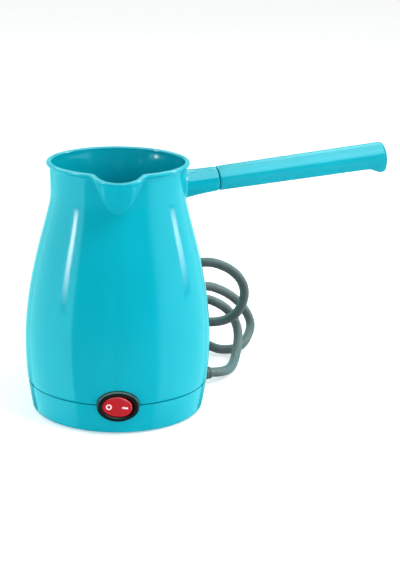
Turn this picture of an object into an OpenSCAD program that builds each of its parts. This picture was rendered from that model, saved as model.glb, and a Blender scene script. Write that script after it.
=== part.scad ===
// Electric coffee pot for the table: a plastic jug with a heating plate in its floor, a side handle,
// a lit rocker switch in the joint between jug and base cover, and a mains lead with its plug.
// Millimetres. Origin on the table under the jug's axis, +Z up, spout and switch towards -Y.

/* [Jug] */
// Height of the rim above the table
jug_height = 150.5; // [146:0.5:156]
// Outer radius of the belly
belly_radius = 55; // [54:0.25:57]
// Height of the widest place
belly_height = 42; // [40:1:46]
// Outer radius of the neck
neck_radius = 39.4; // [38.5:0.1:41]
// Height of the narrowest place
neck_height = 131.5; // [128:0.5:134]
// Outer radius of the lip
lip_radius = 41.7; // [41:0.1:43]
// Radius of the round bead along the lip
bead_radius = 1.7; // [1.4:0.1:2]
// Thickness of the plastic walls
wall = 2.6; // [2.2:0.1:2.8]
// How far the side draws in between belly and table
base_taper = 4.3; // [3.5:0.1:5]
// Height of the joint between jug and base cover
seam_height = 18.8; // [18:0.2:20]
// Width of the dark gap in that joint
seam_gap = 0.5; // [0.3:0.1:0.8]

/* [Spout] */
// Width of the spout at the lip
spout_width = 25.8; // [22:0.2:28]
// Distance from the jug's axis to the spout's front
spout_reach = 51; // [48:0.5:53]
// Height of the lowest point of the spout's bulge
spout_foot = 125.5; // [122:0.5:129]
// How far the spout's front lies under the rim
spout_drop = 3; // [2:0.25:4]

/* [Handle] */
// Direction of the handle, turned from +X towards the back
handle_turn = 11; // [5:1:18]
// Upward tilt of the handle
handle_tilt = 6; // [3:0.2:9]
// Height at which the handle's axis meets the jug's axis
handle_height = 131.3; // [128:0.1:133]
// Distance from the jug's axis to the joint between stub and grip
grip_start = 60; // [58:0.5:66]
// Distance from the jug's axis to the grip's end
grip_end = 164; // [150:1:180]
// Width of the grip at the joint
grip_width = 17; // [15:0.5:19]
// Height of the grip at the joint
grip_depth = 14.4; // [13:0.2:16]
// How much wider and taller the grip is at its end
grip_growth = 1.3; // [0.5:0.1:2.5]
// How far the finger stop hangs under the grip's end
stop_drop = 2.9; // [1.5:0.1:3.5]
// Diameter of the handle's long screw
handle_screw_d = 4; // [3.5:0.5:5]

/* [Heater] */
// Height of the top of the heating plate
plate_top = 34.8; // [34:0.2:36]
// Thickness of the stainless heating plate
plate_thick = 0.8; // [0.6:0.1:1.2]
// Distance between the belly's side and the opening in the jug's floor
floor_margin = 13.4; // [13:0.2:14.4]
// Width of the plate's rim under the floor
plate_rim = 3.6; // [3.2:0.1:3.8]
// Height of the plate's top above its rim
crown_height = 3.2; // [3:0.1:3.6]
// Thickness of the floor ring that holds the plate
shelf_thick = 2.6; // [2.2:0.1:3]
// Thickness of the silicone gasket
gasket_thick = 1.4; // [1:0.1:2]
// Thickness of the steel clamp ring
clamp_thick = 1.5; // [1.2:0.1:2]
// Thickness of the aluminium diffuser
diffuser_thick = 2.5; // [2:0.1:3]
// Diameter of the tubular element
element_d = 6.5; // [6:0.1:7]
// Distance between the diffuser's edge and the middle of the element's ring
element_margin = 12; // [11:0.5:13]
// Number of screws in the clamp ring
clamp_screw_count = 6; // [4, 6]
// Diameter of the self-tapping screws
screw_d = 2.9; // [2.5:0.1:3.2]

/* [Switch] */
// Width of the switch's oval bezel
bezel_width = 24.8; // [23:0.2:27]
// Height of the switch's oval bezel
bezel_height = 18.8; // [18:0.2:20]
// How far the bezel stands out from its seat
bezel_proud = 3.6; // [3:0.1:4.5]
// Width of the oval rocker
rocker_width = 17.3; // [16:0.1:18]
// Height of the oval rocker
rocker_height = 12; // [11:0.1:12.6]
// Angle that the rocker turns between off and on
rocker_travel = 18; // [12:1:20]
// Diameter of the rocker's pivot pins
pivot_d = 3; // [2.5:0.1:3.4]
// Depth of the switch housing behind its seat
housing_depth = 15; // [14:0.5:18]

/* [Base] */
// Thickness of the base cover's floor
floor_thick = 2.4; // [2:0.1:3]
// Height of the non-slip ring under the floor
foot_height = 0.7; // [0.5:0.1:1]
// Distance from the side's foot to the middle of the non-slip ring
foot_margin = 5.1; // [4.7:0.1:5.3]
// Width of the non-slip ring
foot_width = 2.8; // [2:0.1:3]
// Distance between the base screws and the non-slip ring
post_margin = 6; // [5.6:0.1:6.6]

/* [Cord] */
// Diameter of the mains lead
cord_d = 6; // [5.4:0.1:6.4]
// Direction in which the lead leaves the base, turned from +X
cord_turn = 30; // [28:1:34]
// Height of the lead's axis where it leaves the base
cord_height = 8; // [7.6:0.1:8.4]
// Length of the strain relief outside the wall
relief_length = 15; // [12:0.5:18]
// Diameter of the plug's face
plug_d = 37.6; // [36:0.2:39]
// Diameter of a plug pin
plug_pin_d = 4.8; // [4:0.1:4.8]
// Length of a plug pin
plug_pin_length = 19; // [18:0.5:20]
// Distance between the plug pins' axes
plug_pitch = 19; // [18:0.5:20]

/* [Hidden] */

smooth = 72;
seat_gap = 0.15;
thread_gap = 0.05;
hole_gap = 0.2;
hand_gap = 0.3;
lip_height = jug_height - bead_radius;
neck_rise = neck_height - belly_height;
side_steps = 20;

plate_opening = belly_radius - floor_margin;
rim_top = plate_top - crown_height;
shelf_bottom = rim_top + gasket_thick;
shelf_top = shelf_bottom + shelf_thick;
rim_radius = plate_opening + plate_rim;
ring_top = rim_top - plate_thick;
diffuser_top = plate_top - plate_thick;
diffuser_bottom = diffuser_top - diffuser_thick;
diffuser_radius = plate_opening - 3.6;
element_ring = diffuser_radius - element_margin;
element_height = diffuser_bottom + 1 - element_d / 2;
clamp_screw_radius = rim_radius + 3.4;
boss_radius = screw_d / 2 + 1.4;
head_radius = screw_d / 2 + 1.4;
head_thick = 2;

floor_top = foot_height + floor_thick;
foot_ring_radius = belly_radius - base_taper - foot_margin;
post_radius = foot_ring_radius - post_margin;
post_foot = 6;
post_top = ring_top - clamp_thick - 0.8;
post_turns = [90, 200, 340];
spigot_rise = 4;
spigot_thick = 1.5;

housing_wall = 1.2;
rocker_gap = 0.65;
opening_width = rocker_width + 2 * rocker_gap;
opening_height = rocker_height + 2 * rocker_gap * 0.7;
housing_width = opening_width + 2 * housing_wall;
housing_height = opening_height + 2 * housing_wall;
switch_seat = low_radius(seam_height) - 1.5;
bezel_front = switch_seat + bezel_proud;
pivot_depth = 3.5;
pivot_place = bezel_front - pivot_depth;
plunger_reach = 8.2;
blade_depth = 8.4;
blade_thick = 0.6;
blade_length = 12.6;
blade_height = 3.6;
blade_tilt = 7;
rivet_place = 5;
rivet_radius = 1.25;
rivet_thick = 0.5;
housing_back = switch_seat - housing_depth;
tab_pitch = 6.5;
tab_length = 8;
tab_thick = 0.8;
tab_width = 4.8;

relief_end = low_radius(cord_height) + relief_length;
clamp_place = low_radius(cord_height) - 13.7;
tail_start = clamp_place - 7.5;
clamp_size = [7, 19, 4];
lead_d = 2.4;

// Outer radius of the side below the belly
function low_radius(z) = belly_radius - base_taper * pow((belly_height - z) / belly_height, 2);
function mix(a, b, t) = a + (b - a) * t;
function bezier(a, b, c, d, t) =
    a * pow(1 - t, 3) + 3 * b * t * pow(1 - t, 2) + 3 * c * t * t * (1 - t) + d * pow(t, 3);
function unit(v) = v / norm(v);
function polar(r, a, z) = [r * cos(a), r * sin(a), z];

// Outline of the side from height z0 up to the lip, moved in by a wall's thickness
function lower_side(z0, inset) =
    [for (i = [0:5]) let (z = mix(z0, belly_height, i / 6)) [low_radius(z) - inset, z]];
function upper_side(inset) =
    [for (i = [0:side_steps])
        bezier([belly_radius - inset, belly_height],
            [belly_radius - inset, belly_height + 0.47 * neck_rise],
            [neck_radius - inset, neck_height - 0.13 * neck_rise],
            [neck_radius - inset, neck_height], i / side_steps)];
function lip_side(inset, end_radius) =
    [for (u = [0.25:0.25:1])
        [mix(neck_radius - inset, end_radius, u * u), mix(neck_height, lip_height, u)]];
function side(z0, inset, end_radius) =
    concat(lower_side(z0, inset), upper_side(inset), lip_side(inset, end_radius));
function backwards(list) = [for (i = [len(list) - 1:-1:0]) list[i]];

// An oval of half sizes a and b with its own half size below, in the plane of its two axes
function oval(a, b, below, count) =
    [for (i = [0:count - 1]) let (t = 360 * i / count)
        [a * cos(t), (sin(t) < 0 ? below : b) * sin(t)]];

// A closed skin over rings of equal point counts
module skin(rings) {
    n = len(rings[0]);
    m = len(rings);
    sides = [for (i = [0:m - 2], j = [0:n - 1]) let (a = i * n + j, b = i * n + (j + 1) % n)
        each [[a, a + n, b + n], [a, b + n, b]]];
    first = [for (j = [0:n - 1]) j];
    last = [for (j = [n - 1:-1:0]) (m - 1) * n + j];
    polyhedron([for (ring = rings) each ring], concat(sides, [first], [last]), convexity = 8);
}

// A round tube swept along points, its rings carried on without twist; first and last are the ways
// in which its ends run
function tangents(p, first, last) =
    let (n = len(p)) concat([first], [for (i = [1:n - 2]) unit(p[i + 1] - p[i - 1])], [last]);
function carried(t, n, i) =
    i == len(t) ? [] : let (m = unit(n - (n * t[i]) * t[i])) concat([m], carried(t, m, i + 1));
module tube(points, radius, sides, first, last) {
    t = tangents(points, first, last);
    n = carried(t, abs(t[0][2]) > 0.9 ? [1, 0, 0] : [0, 0, 1], 0);
    skin([for (i = [0:len(points) - 1]) [for (j = [0:sides - 1]) let (a = 360 * j / sides)
        points[i] + radius * (cos(a) * n[i] + sin(a) * cross(n[i], t[i]))]]);
}

// Places: in the handle's own axes, in the switch's, along the lead's way out, and around the axis
module at_handle() {
    translate([0, 0, handle_height]) rotate([0, -handle_tilt, handle_turn]) children();
}
// The switch's frame: x to the right, y up, z out of the jug, zero at the rocker's pivot
module at_switch() {
    translate([0, -pivot_place, seam_height]) rotate([90, 0, 0]) children();
}
module at_cord() {
    rotate(cord_turn) translate([0, 0, cord_height]) rotate([0, 90, 0]) children();
}
module around(count) {
    for (i = [0:count - 1]) rotate(360 * i / count) children();
}
module at_posts() {
    for (turn = post_turns) rotate(turn) translate([post_radius, 0, 0]) children();
}
module ring(outer, inner, low, high) {
    translate([0, 0, low]) difference() {
        cylinder(r = outer, h = high - low, $fn = smooth);
        translate([0, 0, -1]) cylinder(r = inner, h = high - low + 2, $fn = smooth);
    }
}
module prism(size, low) {
    translate([-size[0] / 2, -size[1] / 2, low]) cube(size);
}
module oval_prism(width, height, depth, low) {
    translate([0, 0, low]) linear_extrude(depth)
        polygon(oval(width / 2, height / 2, height / 2, 48));
}

// ---- jug ----

seam_top = seam_height + seam_gap / 2;
// The wall's inner outline from the seam up to the floor ring, which what is joined on inside follows
chamber_side = [[low_radius(seam_height) - wall, seam_top],
    [low_radius(shelf_bottom) - wall, shelf_bottom], [low_radius(shelf_top) - wall, shelf_top]];
module plain_wall() {
    rotate_extrude($fn = smooth) polygon(concat(
        side(seam_top, 0, lip_radius - bead_radius),
        backwards(side(shelf_top, wall, lip_radius - 2 * bead_radius + 0.4)),
        [chamber_side[1], chamber_side[0]]));
    rotate_extrude($fn = smooth) translate([lip_radius - bead_radius, lip_height])
        circle(r = bead_radius, $fn = 24);
}

// The spout: a trough whose sections bulge out of the middle of the wall, over a notch in the wall
spout_wall = 2.4;
spout_step = 0.5;
spout_steps = [0.02, 0.07, 0.14, 0.25, 0.4, 0.56, 0.72, 0.86];
function middle(z) = let (v = max(0, (z - neck_height) / (lip_height - neck_height)))
    mix(neck_radius, lip_radius - bead_radius / 2, v * v) - wall / 2;
spout_side = sqrt(pow(middle(lip_height), 2) - pow(spout_width / 2, 2));
function spout_half(u) = spout_width / 2 * sqrt(u);
function spout_bulge(u) = mix(wall / 2, spout_reach - neck_radius + wall / 2, pow(u, 1.15));
function spout_arc(u, inset, lift) =
    [for (t = [0:11.25:180])
        let (z = mix(spout_foot, lip_height, u), x = max(0.4, spout_half(u) - inset) * cos(t),
            y = sqrt(middle(z) * middle(z) - x * x) + max(0, spout_bulge(u) - inset) * sin(t))
        [x, -y, z + lift - u * spout_drop * (y - spout_side) / (spout_reach - spout_side)]];
function spout_ring(u, outer, inner, lift) =
    concat(backwards(spout_arc(u, outer, lift)), spout_arc(u, inner, lift));
module spout() {
    skin(concat([for (u = spout_steps) spout_ring(u, spout_step, spout_wall, 0)],
        [for (a = [-60:30:90]) spout_ring(1, bead_radius * (1 - cos(a)), spout_wall,
            (bead_radius - 0.15) * sin(a))]));
}
notch_steps = [0.15, 0.2, 0.3, 0.45, 0.65, 0.9];
module spout_notch() {
    inset = spout_wall - 0.3;
    edge = concat([for (u = notch_steps) [spout_half(u) - inset, mix(spout_foot, lip_height, u)]],
        [[spout_half(1) - inset, lip_height], [spout_half(1) - inset, jug_height + 5]]);
    translate([0, -middle(lip_height) + 8, 0]) rotate([90, 0, 0]) linear_extrude(20)
        polygon(concat(edge, backwards([for (p = edge) [-p[0], p[1]]])));
}

// Sections of the handle: half width, height above the axis and below it
function handle_ring(x, a, up, down, count = 28) =
    [for (p = oval(a, up, down, count)) [x, p[0], p[1]]];
stub_rings = [[30, 0.5, 1.6, 3.6], [42, 0.2, 0.8, 2.4], [46, 0, 0.2, 1.4], [52, -0.2, 0, 0.4],
    [grip_start - 1.2, -0.2, -0.1, 0], [grip_start - 0.5, -0.8, -0.6, -0.6]];
module stub() {
    skin([for (s = stub_rings)
        handle_ring(s[0], grip_width / 2 + s[1], grip_depth / 2 + s[2], grip_depth / 2 + s[3])]);
}

insert_radius = handle_screw_d / 2 + 1.6;
insert_length = 12;
insert_end = grip_start - 1;
module switch_cutout() {
    at_switch() {
        oval_prism(housing_width + 2 * seat_gap, housing_height + 2 * seat_gap, 30,
            switch_seat - pivot_place - 25);
        oval_prism(bezel_width + 2 * seat_gap, bezel_height + 2 * seat_gap, 12,
            switch_seat - pivot_place);
    }
}

module jug_wall() color("#12b4c8") {
    difference() {
        plain_wall();
        spout_notch();
        switch_cutout();
    }
    spout();
}

// The floor ring that the heating plate seats under, with the clamp screws' bosses
module jug_floor() color("#12b4c8") difference() {
    union() {
        rotate_extrude($fn = smooth) polygon([[plate_opening, shelf_bottom], chamber_side[1],
            chamber_side[2], [plate_opening, shelf_top]]);
        around(clamp_screw_count) translate([clamp_screw_radius, 0, ring_top])
            cylinder(r = boss_radius, h = shelf_bottom - ring_top + 1, $fn = 32);
    }
    around(clamp_screw_count) translate([clamp_screw_radius, 0, ring_top - 1])
        cylinder(r = screw_d / 2 + thread_gap, h = shelf_bottom - ring_top + 2.2, $fn = 24);
}

// Posts for the base screws, each on a rib from the wall
post_size = 3.4;
rib_thick = 3;
module screw_posts() color("#12b4c8") at_posts() difference() {
    union() {
        translate([0, 0, post_foot]) cylinder(r = post_size, h = post_top - post_foot, $fn = 32);
        translate([0, -rib_thick / 2, seam_height + spigot_rise + 0.5])
            cube([wall + 20, rib_thick, post_top - seam_height - spigot_rise - 0.5]);
    }
    translate([0, 0, post_foot - 1]) cylinder(r = screw_d / 2 + thread_gap, h = 12, $fn = 24);
    translate([-post_radius, 0, 0]) rotate_extrude($fn = smooth) polygon([chamber_side[0],
        chamber_side[1], [belly_radius + 30, shelf_bottom], [belly_radius + 30, seam_top]]);
}

// The short arm that the grip is screwed to, cut to the wall's outside
module handle_stub() color("#12b4c8") difference() {
    at_handle() stub();
    rotate_extrude($fn = smooth) polygon(concat([[0, seam_top]],
        side(seam_top, 0, lip_radius - bead_radius), [[0, lip_height]]));
    at_handle() translate([insert_end - insert_length, 0, 0]) rotate([0, 90, 0])
        cylinder(r = insert_radius, h = insert_length + 5, $fn = 32);
}

// ---- base ----

edge_round = 3;
module base_cover() color("#12b4c8") {
    top = seam_height - seam_gap / 2;
    inset = 0.15;
    foot_side = low_radius(foot_height + edge_round) - inset;
    edge = [for (a = [0:15:75]) [foot_side - edge_round + edge_round * sin(a),
        foot_height + edge_round - edge_round * cos(a)]];
    outside = [for (i = [0:4]) let (z = mix(foot_height + edge_round, top, i / 4))
        [low_radius(z) - inset, z]];
    inside = [for (i = [4:-1:0]) let (z = mix(floor_top, top, i / 4))
        [low_radius(max(z, foot_height + edge_round)) - wall, z]];
    spigot_out = low_radius(seam_height) - wall - seat_gap;
    difference() {
        union() {
            rotate_extrude($fn = smooth) polygon(concat([[0, foot_height]], edge, outside,
                inside, [[0, floor_top]]));
            ring(spigot_out, spigot_out - spigot_thick, top - 6, seam_height + spigot_rise);
            at_posts() translate([0, 0, floor_top - 0.5])
                cylinder(r = post_size + 1.6, h = post_foot - floor_top + 0.5, $fn = 32);
            rotate(cord_turn) translate([clamp_place, 0, 0])
                prism([clamp_size[0], clamp_size[1], cord_height - floor_top + 0.5], floor_top - 0.5);
        }
        translate([0, 0, -1]) ring(foot_ring_radius + foot_width / 2,
            foot_ring_radius - foot_width / 2, 0, foot_height + 2.2);
        at_posts() {
            translate([0, 0, -1]) cylinder(r = head_radius + hole_gap, h = post_foot - 1, $fn = 32);
            cylinder(r = screw_d / 2 + hole_gap, h = post_foot + 1, $fn = 24);
            translate([0, 0, post_foot]) cylinder(r = post_size + hand_gap, h = 40, $fn = 32);
        }
        switch_cutout();
        at_cord() {
            translate([0, 0, tail_start]) cylinder(r = cord_d / 2 + thread_gap, h = 40, $fn = 32);
            translate([0, 0, spigot_out - spigot_thick - 3])
                cylinder(r = relief_neck + thread_gap, h = 20, $fn = 32);
            translate([0, 0, relief_start - hole_gap])
                cylinder(r = relief_collar + hole_gap, h = collar_thick + 2 * hole_gap, $fn = 40);
        }
        rotate(cord_turn) for (s = [-1, 1])
            translate([clamp_place, s * clamp_hole, cord_height - 4.4])
                cylinder(r = screw_d / 2 + thread_gap, h = 10, $fn = 24);
    }
}

module foot_ring() color("#4a4f52")
    ring(foot_ring_radius + foot_width / 2, foot_ring_radius - foot_width / 2, 0, foot_height + 1.2);

// A pan-head screw with its head's seat at zero, pointing up
module pan_screw(d, length, head_r, head_h) {
    difference() {
        translate([0, 0, -head_h]) cylinder(r = head_r, h = head_h, $fn = 32);
        for (a = [0, 90]) rotate(a) prism([head_r * 1.1, 0.7, head_h], -head_h - 1);
    }
    cylinder(r = d / 2, h = length - d / 2, $fn = 24);
    translate([0, 0, length - d / 2]) cylinder(r1 = d / 2, r2 = 0.3, h = d / 2, $fn = 24);
}
module base_screws() color("silver")
    at_posts() translate([0, 0, post_foot - 2]) pan_screw(screw_d, 11, head_radius, head_thick);

// ---- handle ----

bore_radius = handle_screw_d / 2 + hole_gap;
well_radius = handle_screw_d + 0.6;
well_depth = 70;
cap_depth = 5;
// Stations along the grip: share of its length, narrowing of the section, drop of the finger stop
grip_stations = [[0, 0.7, 0], [0.006, 0.15, 0], [0.02, 0, 0], [0.25, 0, 0], [0.5, 0, 0], [0.75, 0, 0],
    [0.88, 0, 0], [0.92, 0, 0.12], [0.945, 0, 0.5], [0.965, 0, 0.9], [0.98, 0.1, 1], [0.985, 0.5, 1]];
function grip_ring(s, count = 28) =
    let (grow = grip_growth / 2 * s[0], x = mix(grip_start, grip_end, s[0]))
    handle_ring(x, grip_width / 2 + grow - s[1], grip_depth / 2 + grow - s[1],
        grip_depth / 2 + grow - s[1] + stop_drop * s[2], count);
module handle_grip() color("#12b4c8") at_handle() difference() {
    skin([for (s = grip_stations) grip_ring(s)]);
    rotate([0, 90, 0]) {
        cylinder(r = bore_radius, h = 200, $fn = 32);
        translate([0, 0, grip_end - well_depth]) cylinder(r = well_radius, h = 100, $fn = 32);
    }
}

// The end cap: a domed disc with a round plug that fills the screw's well
cap_stations = [[0.985, 0.5, 1], [0.99, 0.3, 1], [0.995, 0.8, 0.98], [0.9985, 2, 0.9], [1, 4, 0.75]];
module handle_cap() color("#12b4c8") at_handle() {
    skin([for (s = cap_stations) grip_ring(s)]);
    plug_end = mix(grip_start, grip_end, cap_stations[0][0]);
    translate([plug_end - cap_depth, 0, 0]) rotate([0, 90, 0])
        cylinder(r = well_radius - thread_gap, h = cap_depth, $fn = 32);
}

screw_seat = grip_end - well_depth;
screw_reach = insert_end - insert_length + 2;
module handle_screw() color("silver") at_handle() translate([screw_seat, 0, 0]) rotate([0, -90, 0])
    pan_screw(handle_screw_d, screw_seat - screw_reach, well_radius - 0.4, 3);

module handle_insert() color("#c9a64b") at_handle() rotate([0, 90, 0])
    ring(insert_radius - 0.01, handle_screw_d / 2 + thread_gap, insert_end - insert_length, insert_end);

// ---- heater ----

module heating_plate() color("#c8cccf") {
    crown = plate_opening - 1.6;
    section = [[0, plate_top], [crown - 1, plate_top], [crown, plate_top - 0.5],
        [crown, rim_top], [rim_radius, rim_top], [rim_radius, ring_top],
        [crown - plate_thick, ring_top], [crown - plate_thick, plate_top - 1],
        [crown - plate_thick - 0.6, plate_top - plate_thick], [0, plate_top - plate_thick]];
    rotate_extrude($fn = smooth) polygon(section);
}

module plate_gasket() color("#e9e6df")
    ring(rim_radius, plate_opening - 0.4, rim_top, shelf_bottom);

module clamp_ring() color("#aeb4b8") difference() {
    ring(clamp_screw_radius + 2.2, plate_opening + 0.4, ring_top - clamp_thick, ring_top);
    around(clamp_screw_count) translate([clamp_screw_radius, 0, ring_top - clamp_thick - 1])
        cylinder(r = screw_d / 2 + hole_gap, h = clamp_thick + 2, $fn = 24);
}

module clamp_screws() color("silver") around(clamp_screw_count)
    translate([clamp_screw_radius, 0, ring_top - clamp_thick])
        pan_screw(screw_d, clamp_thick + shelf_bottom - ring_top + 1, head_radius - 0.2, 1.8);

module element_path(radius) {
    rotate(element_from) rotate_extrude(angle = element_arc, $fn = smooth)
        translate([element_ring, 0]) circle(r = radius, $fn = 24);
}
element_from = 185;
element_arc = 290;
element_ends = [element_from, element_from + element_arc];
cold_drop = 5;

module diffuser_plate() color("#d4d7d9") difference() {
    translate([0, 0, diffuser_bottom]) cylinder(r = diffuser_radius, h = diffuser_thick, $fn = smooth);
    translate([0, 0, element_height]) rotate_extrude($fn = smooth)
        translate([element_ring, 0]) circle(r = element_d / 2 + 0.02, $fn = 24);
    for (s = [-1, 1]) translate([s * flange_half, 0, diffuser_bottom - 1])
        cylinder(r = 1.5 + thread_gap, h = 3, $fn = 24);
}

module heating_element() color("#8d9296") {
    translate([0, 0, element_height]) element_path(element_d / 2);
    for (a = element_ends) translate(polar(element_ring, a, element_height - cold_drop))
        cylinder(r = element_d / 2 + 0.4, h = cold_drop + element_d / 2 - 1.2, $fn = 32);
}

ceramic_length = 3;
module element_ceramics() color("#f2efe6") for (a = element_ends)
    translate(polar(element_ring, a, element_height - cold_drop))
        ring(element_d / 2 - 0.8, 1.25, -ceramic_length, 0);

element_tab_top = element_height - cold_drop - ceramic_length;
module element_tabs() color("#c9b36a") for (a = element_ends)
    translate(polar(element_ring, a, element_tab_top)) {
        cylinder(r = 1.2, h = ceramic_length, $fn = 24);
        translate([0, 0, -tab_length]) prism([tab_width, tab_thick, tab_length], 0);
    }

thermostat_radius = 8;
cup_depth = 4.4;
thermostat_depth = 7.5;
thermostat_pitch = 4.6;
thermostat_tab = 7;
flange_half = 12;
thermostat_low = diffuser_bottom - cup_depth - thermostat_depth;
module thermostat_cup() color("#cfd3d6")
    translate([0, 0, diffuser_bottom - cup_depth])
        cylinder(r = thermostat_radius + 0.5, h = cup_depth, $fn = 48);
module thermostat_body() color("#2b2522") translate([0, 0, thermostat_low])
    cylinder(r = thermostat_radius, h = thermostat_depth, $fn = 48);
module thermostat_flange() color("#b5babd") translate([0, 0, diffuser_bottom - 0.8])
    difference() {
        linear_extrude(0.8) polygon(oval(flange_half + 4, 10.5, 10.5, 48));
        translate([0, 0, -1]) cylinder(r = thermostat_radius + 0.5, h = 3, $fn = 48);
        for (s = [-1, 1]) translate([s * flange_half, 0, -1])
            cylinder(r = 1.5 + hole_gap, h = 3, $fn = 24);
    }
module thermostat_screws() color("silver") for (s = [-1, 1])
    translate([s * flange_half, 0, diffuser_bottom - 0.8]) pan_screw(3, 2.6, 2.8, 1.8);
module thermostat_tabs() color("#c9b36a") for (s = [-1, 1])
    translate([s * thermostat_pitch, 0, thermostat_low - thermostat_tab])
        prism([tab_thick, tab_width, thermostat_tab], 0);

fuse_turn = 150;
fuse_place = element_ring + element_d / 2 + 4;
fuse_radius = 2;
sleeve_radius = 2.5;
fuse_length = 11;
sleeve_length = 24;
fuse_height = diffuser_bottom - sleeve_radius - 0.05;
module at_fuse() {
    rotate(fuse_turn) translate([fuse_place, 0, fuse_height]) rotate([90, 0, 0]) children();
}
module thermal_fuse() color("#c9a64b") at_fuse() {
    translate([0, 0, -fuse_length / 2]) cylinder(r = fuse_radius, h = fuse_length, $fn = 32);
    translate([0, 0, -sleeve_length / 2 - 2]) cylinder(r = 0.5, h = sleeve_length + 4, $fn = 16);
}
module fuse_sleeve() color("#efe9d8") at_fuse()
    ring(sleeve_radius, fuse_radius + 0.02, -sleeve_length / 2, sleeve_length / 2);
clip_thick = 0.6;
clip_width = 5;
module fuse_clip() color("#b5babd") at_fuse() difference() {
    clip_radius = sleeve_radius + thread_gap + clip_thick;
    seat = diffuser_bottom - fuse_height;
    union() {
        translate([0, 0, -clip_width / 2]) cylinder(r = clip_radius, h = clip_width, $fn = 32);
        translate([-clip_radius, seat - clip_thick, -clip_width / 2])
            cube([clip_radius + 4.4, clip_thick, clip_width]);
    }
    translate([0, 0, -5]) cylinder(r = sleeve_radius + thread_gap, h = 10, $fn = 32);
    translate([-5, seat, -5]) cube([10, 5, 10]);
    translate([-1.8, 0, -5]) cube([3.6, 5, 10]);
}

earth_turn = 18;
earth_place = plate_opening + 3;
module earth_tab() color("#c9b36a")
    rotate(earth_turn) translate([earth_place, 0, ring_top - clamp_thick]) {
        translate([tab_width / 2 - tab_thick / 2, 0, 0]) prism([tab_width, 6.3, tab_thick], -tab_thick);
        prism([tab_thick, tab_width, tab_length], -tab_thick - tab_length);
    }

// ---- switch, in its own frame: z out of the jug from the pivot ----

pivot_span = housing_height - 0.6;
seat_level = switch_seat - pivot_place;
front_level = bezel_front - pivot_place;
back_level = housing_back - pivot_place;
// Rounded section of the bezel: level above the seat and inset from its outline
bezel_section = [[0, 0], [0.45, -0.05], [0.75, 0.35], [0.93, 1.0], [1, 1.9]];
module bezel() {
    difference() {
        skin([for (s = bezel_section) [for (p = oval(bezel_width / 2 - s[1], bezel_height / 2 - s[1],
            bezel_height / 2 - s[1], 48)) [p[0], p[1], mix(seat_level, front_level, s[0])]]]);
        oval_prism(opening_width, opening_height, 10, seat_level - 1);
    }
}
module switch_housing() color("#17181a") at_switch() difference() {
    union() {
        bezel();
        difference() {
            oval_prism(housing_width, housing_height, housing_depth, back_level);
            oval_prism(opening_width, opening_height, housing_depth, back_level + 1.5);
        }
    }
    rotate([90, 0, 0]) cylinder(r = pivot_d / 2 + thread_gap, h = pivot_span + 2 * hole_gap,
        center = true, $fn = 32);
    for (i = [-1:1]) translate([i * tab_pitch, 0, 0])
        prism([tab_thick, tab_width, 10], back_level - 5);
}

rocker_slope = rocker_travel / 2;
rocker_half = rocker_width / 2;
stem_radius = 2.4;
stem_level = -5.2;
well_level = 1.2;
spring_well = 1.75;
plunger_radius = 1.6;
plunger_length = 3.2;
// The rocker's face: two flat halves that meet in a shallow valley
function face_level(x) = face_middle + abs(x) * tan(rocker_slope);
face_middle = front_level - 0.35;
skirt_level = -2.6;
module rocker_turned() {
    at_switch() rotate([0, -rocker_slope, 0]) children();
}
module face_cut(side) {
    translate([0, 0, face_middle]) rotate([0, -side * rocker_slope, 0])
        translate([side > 0 ? -0.5 : -19.5, -10, 0]) cube([20, 20, 10]);
}
module switch_rocker() color("#c8102e") rocker_turned() difference() {
    union() {
        difference() {
            translate([0, 0, skirt_level]) linear_extrude(front_level + 2 - skirt_level)
                polygon(rocker_oval);
            face_cut(1);
            face_cut(-1);
            difference() {
                translate([0, 0, skirt_level - 1]) linear_extrude(face_middle - skirt_level - 0.4)
                    polygon([for (p = rocker_oval) p * 0.84]);
                cylinder(r = stem_radius, h = 20, center = true, $fn = 32);
                prism([2.2, rocker_height, 8], -1.8);
            }
        }
        translate([0, 0, stem_level]) cylinder(r = stem_radius, h = -stem_level, $fn = 32);
        rotate([90, 0, 0]) cylinder(r = pivot_d / 2, h = pivot_span, center = true, $fn = 32);
    }
    translate([0, 0, stem_level - 1]) cylinder(r = spring_well, h = well_level - stem_level + 1, $fn = 32);
}
rocker_oval = oval(rocker_half, rocker_height / 2, rocker_height / 2, 40);

mark_place = 4.7;
mark_thick = 0.12;
module rocker_marks() color("white") rocker_turned() {
    translate([-mark_place, 0, face_level(mark_place)]) rotate([0, rocker_slope, 0])
        ring(1.65, 1, 0.02, mark_thick);
    translate([mark_place, 0, face_level(mark_place)]) rotate([0, -rocker_slope, 0])
        prism([3.4, 1, mark_thick], 0.02);
}

module switch_plunger() color("#e8e4da") rocker_turned()
    translate([0, 0, -plunger_reach + plunger_radius]) {
        sphere(r = plunger_radius, $fn = 24);
        cylinder(r = plunger_radius, h = plunger_length, $fn = 24);
    }

spring_wire = 0.25;
spring_turns = 5;
module switch_spring() color("#c0c4c8") rocker_turned() {
    steps = 60;
    low = -plunger_reach + plunger_radius + plunger_length + spring_wire;
    high = well_level - spring_wire;
    tube([for (i = [0:steps]) let (a = 360 * spring_turns * i / steps)
        [1.2 * cos(a), 1.2 * sin(a), mix(low, high, i / steps)]], spring_wire, 6, [0, 1, 0], [0, 1, 0]);
}

module blade_turned() {
    at_switch() translate([0, 0, -blade_depth - blade_thick]) rotate([0, blade_tilt, 0]) children();
}
module switch_contact() color("#c98a4b") blade_turned() {
    prism([blade_length, blade_height, blade_thick], 0);
    translate([-rivet_place, 0, -rivet_thick]) cylinder(r = rivet_radius, h = rivet_thick, $fn = 32);
}

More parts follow.
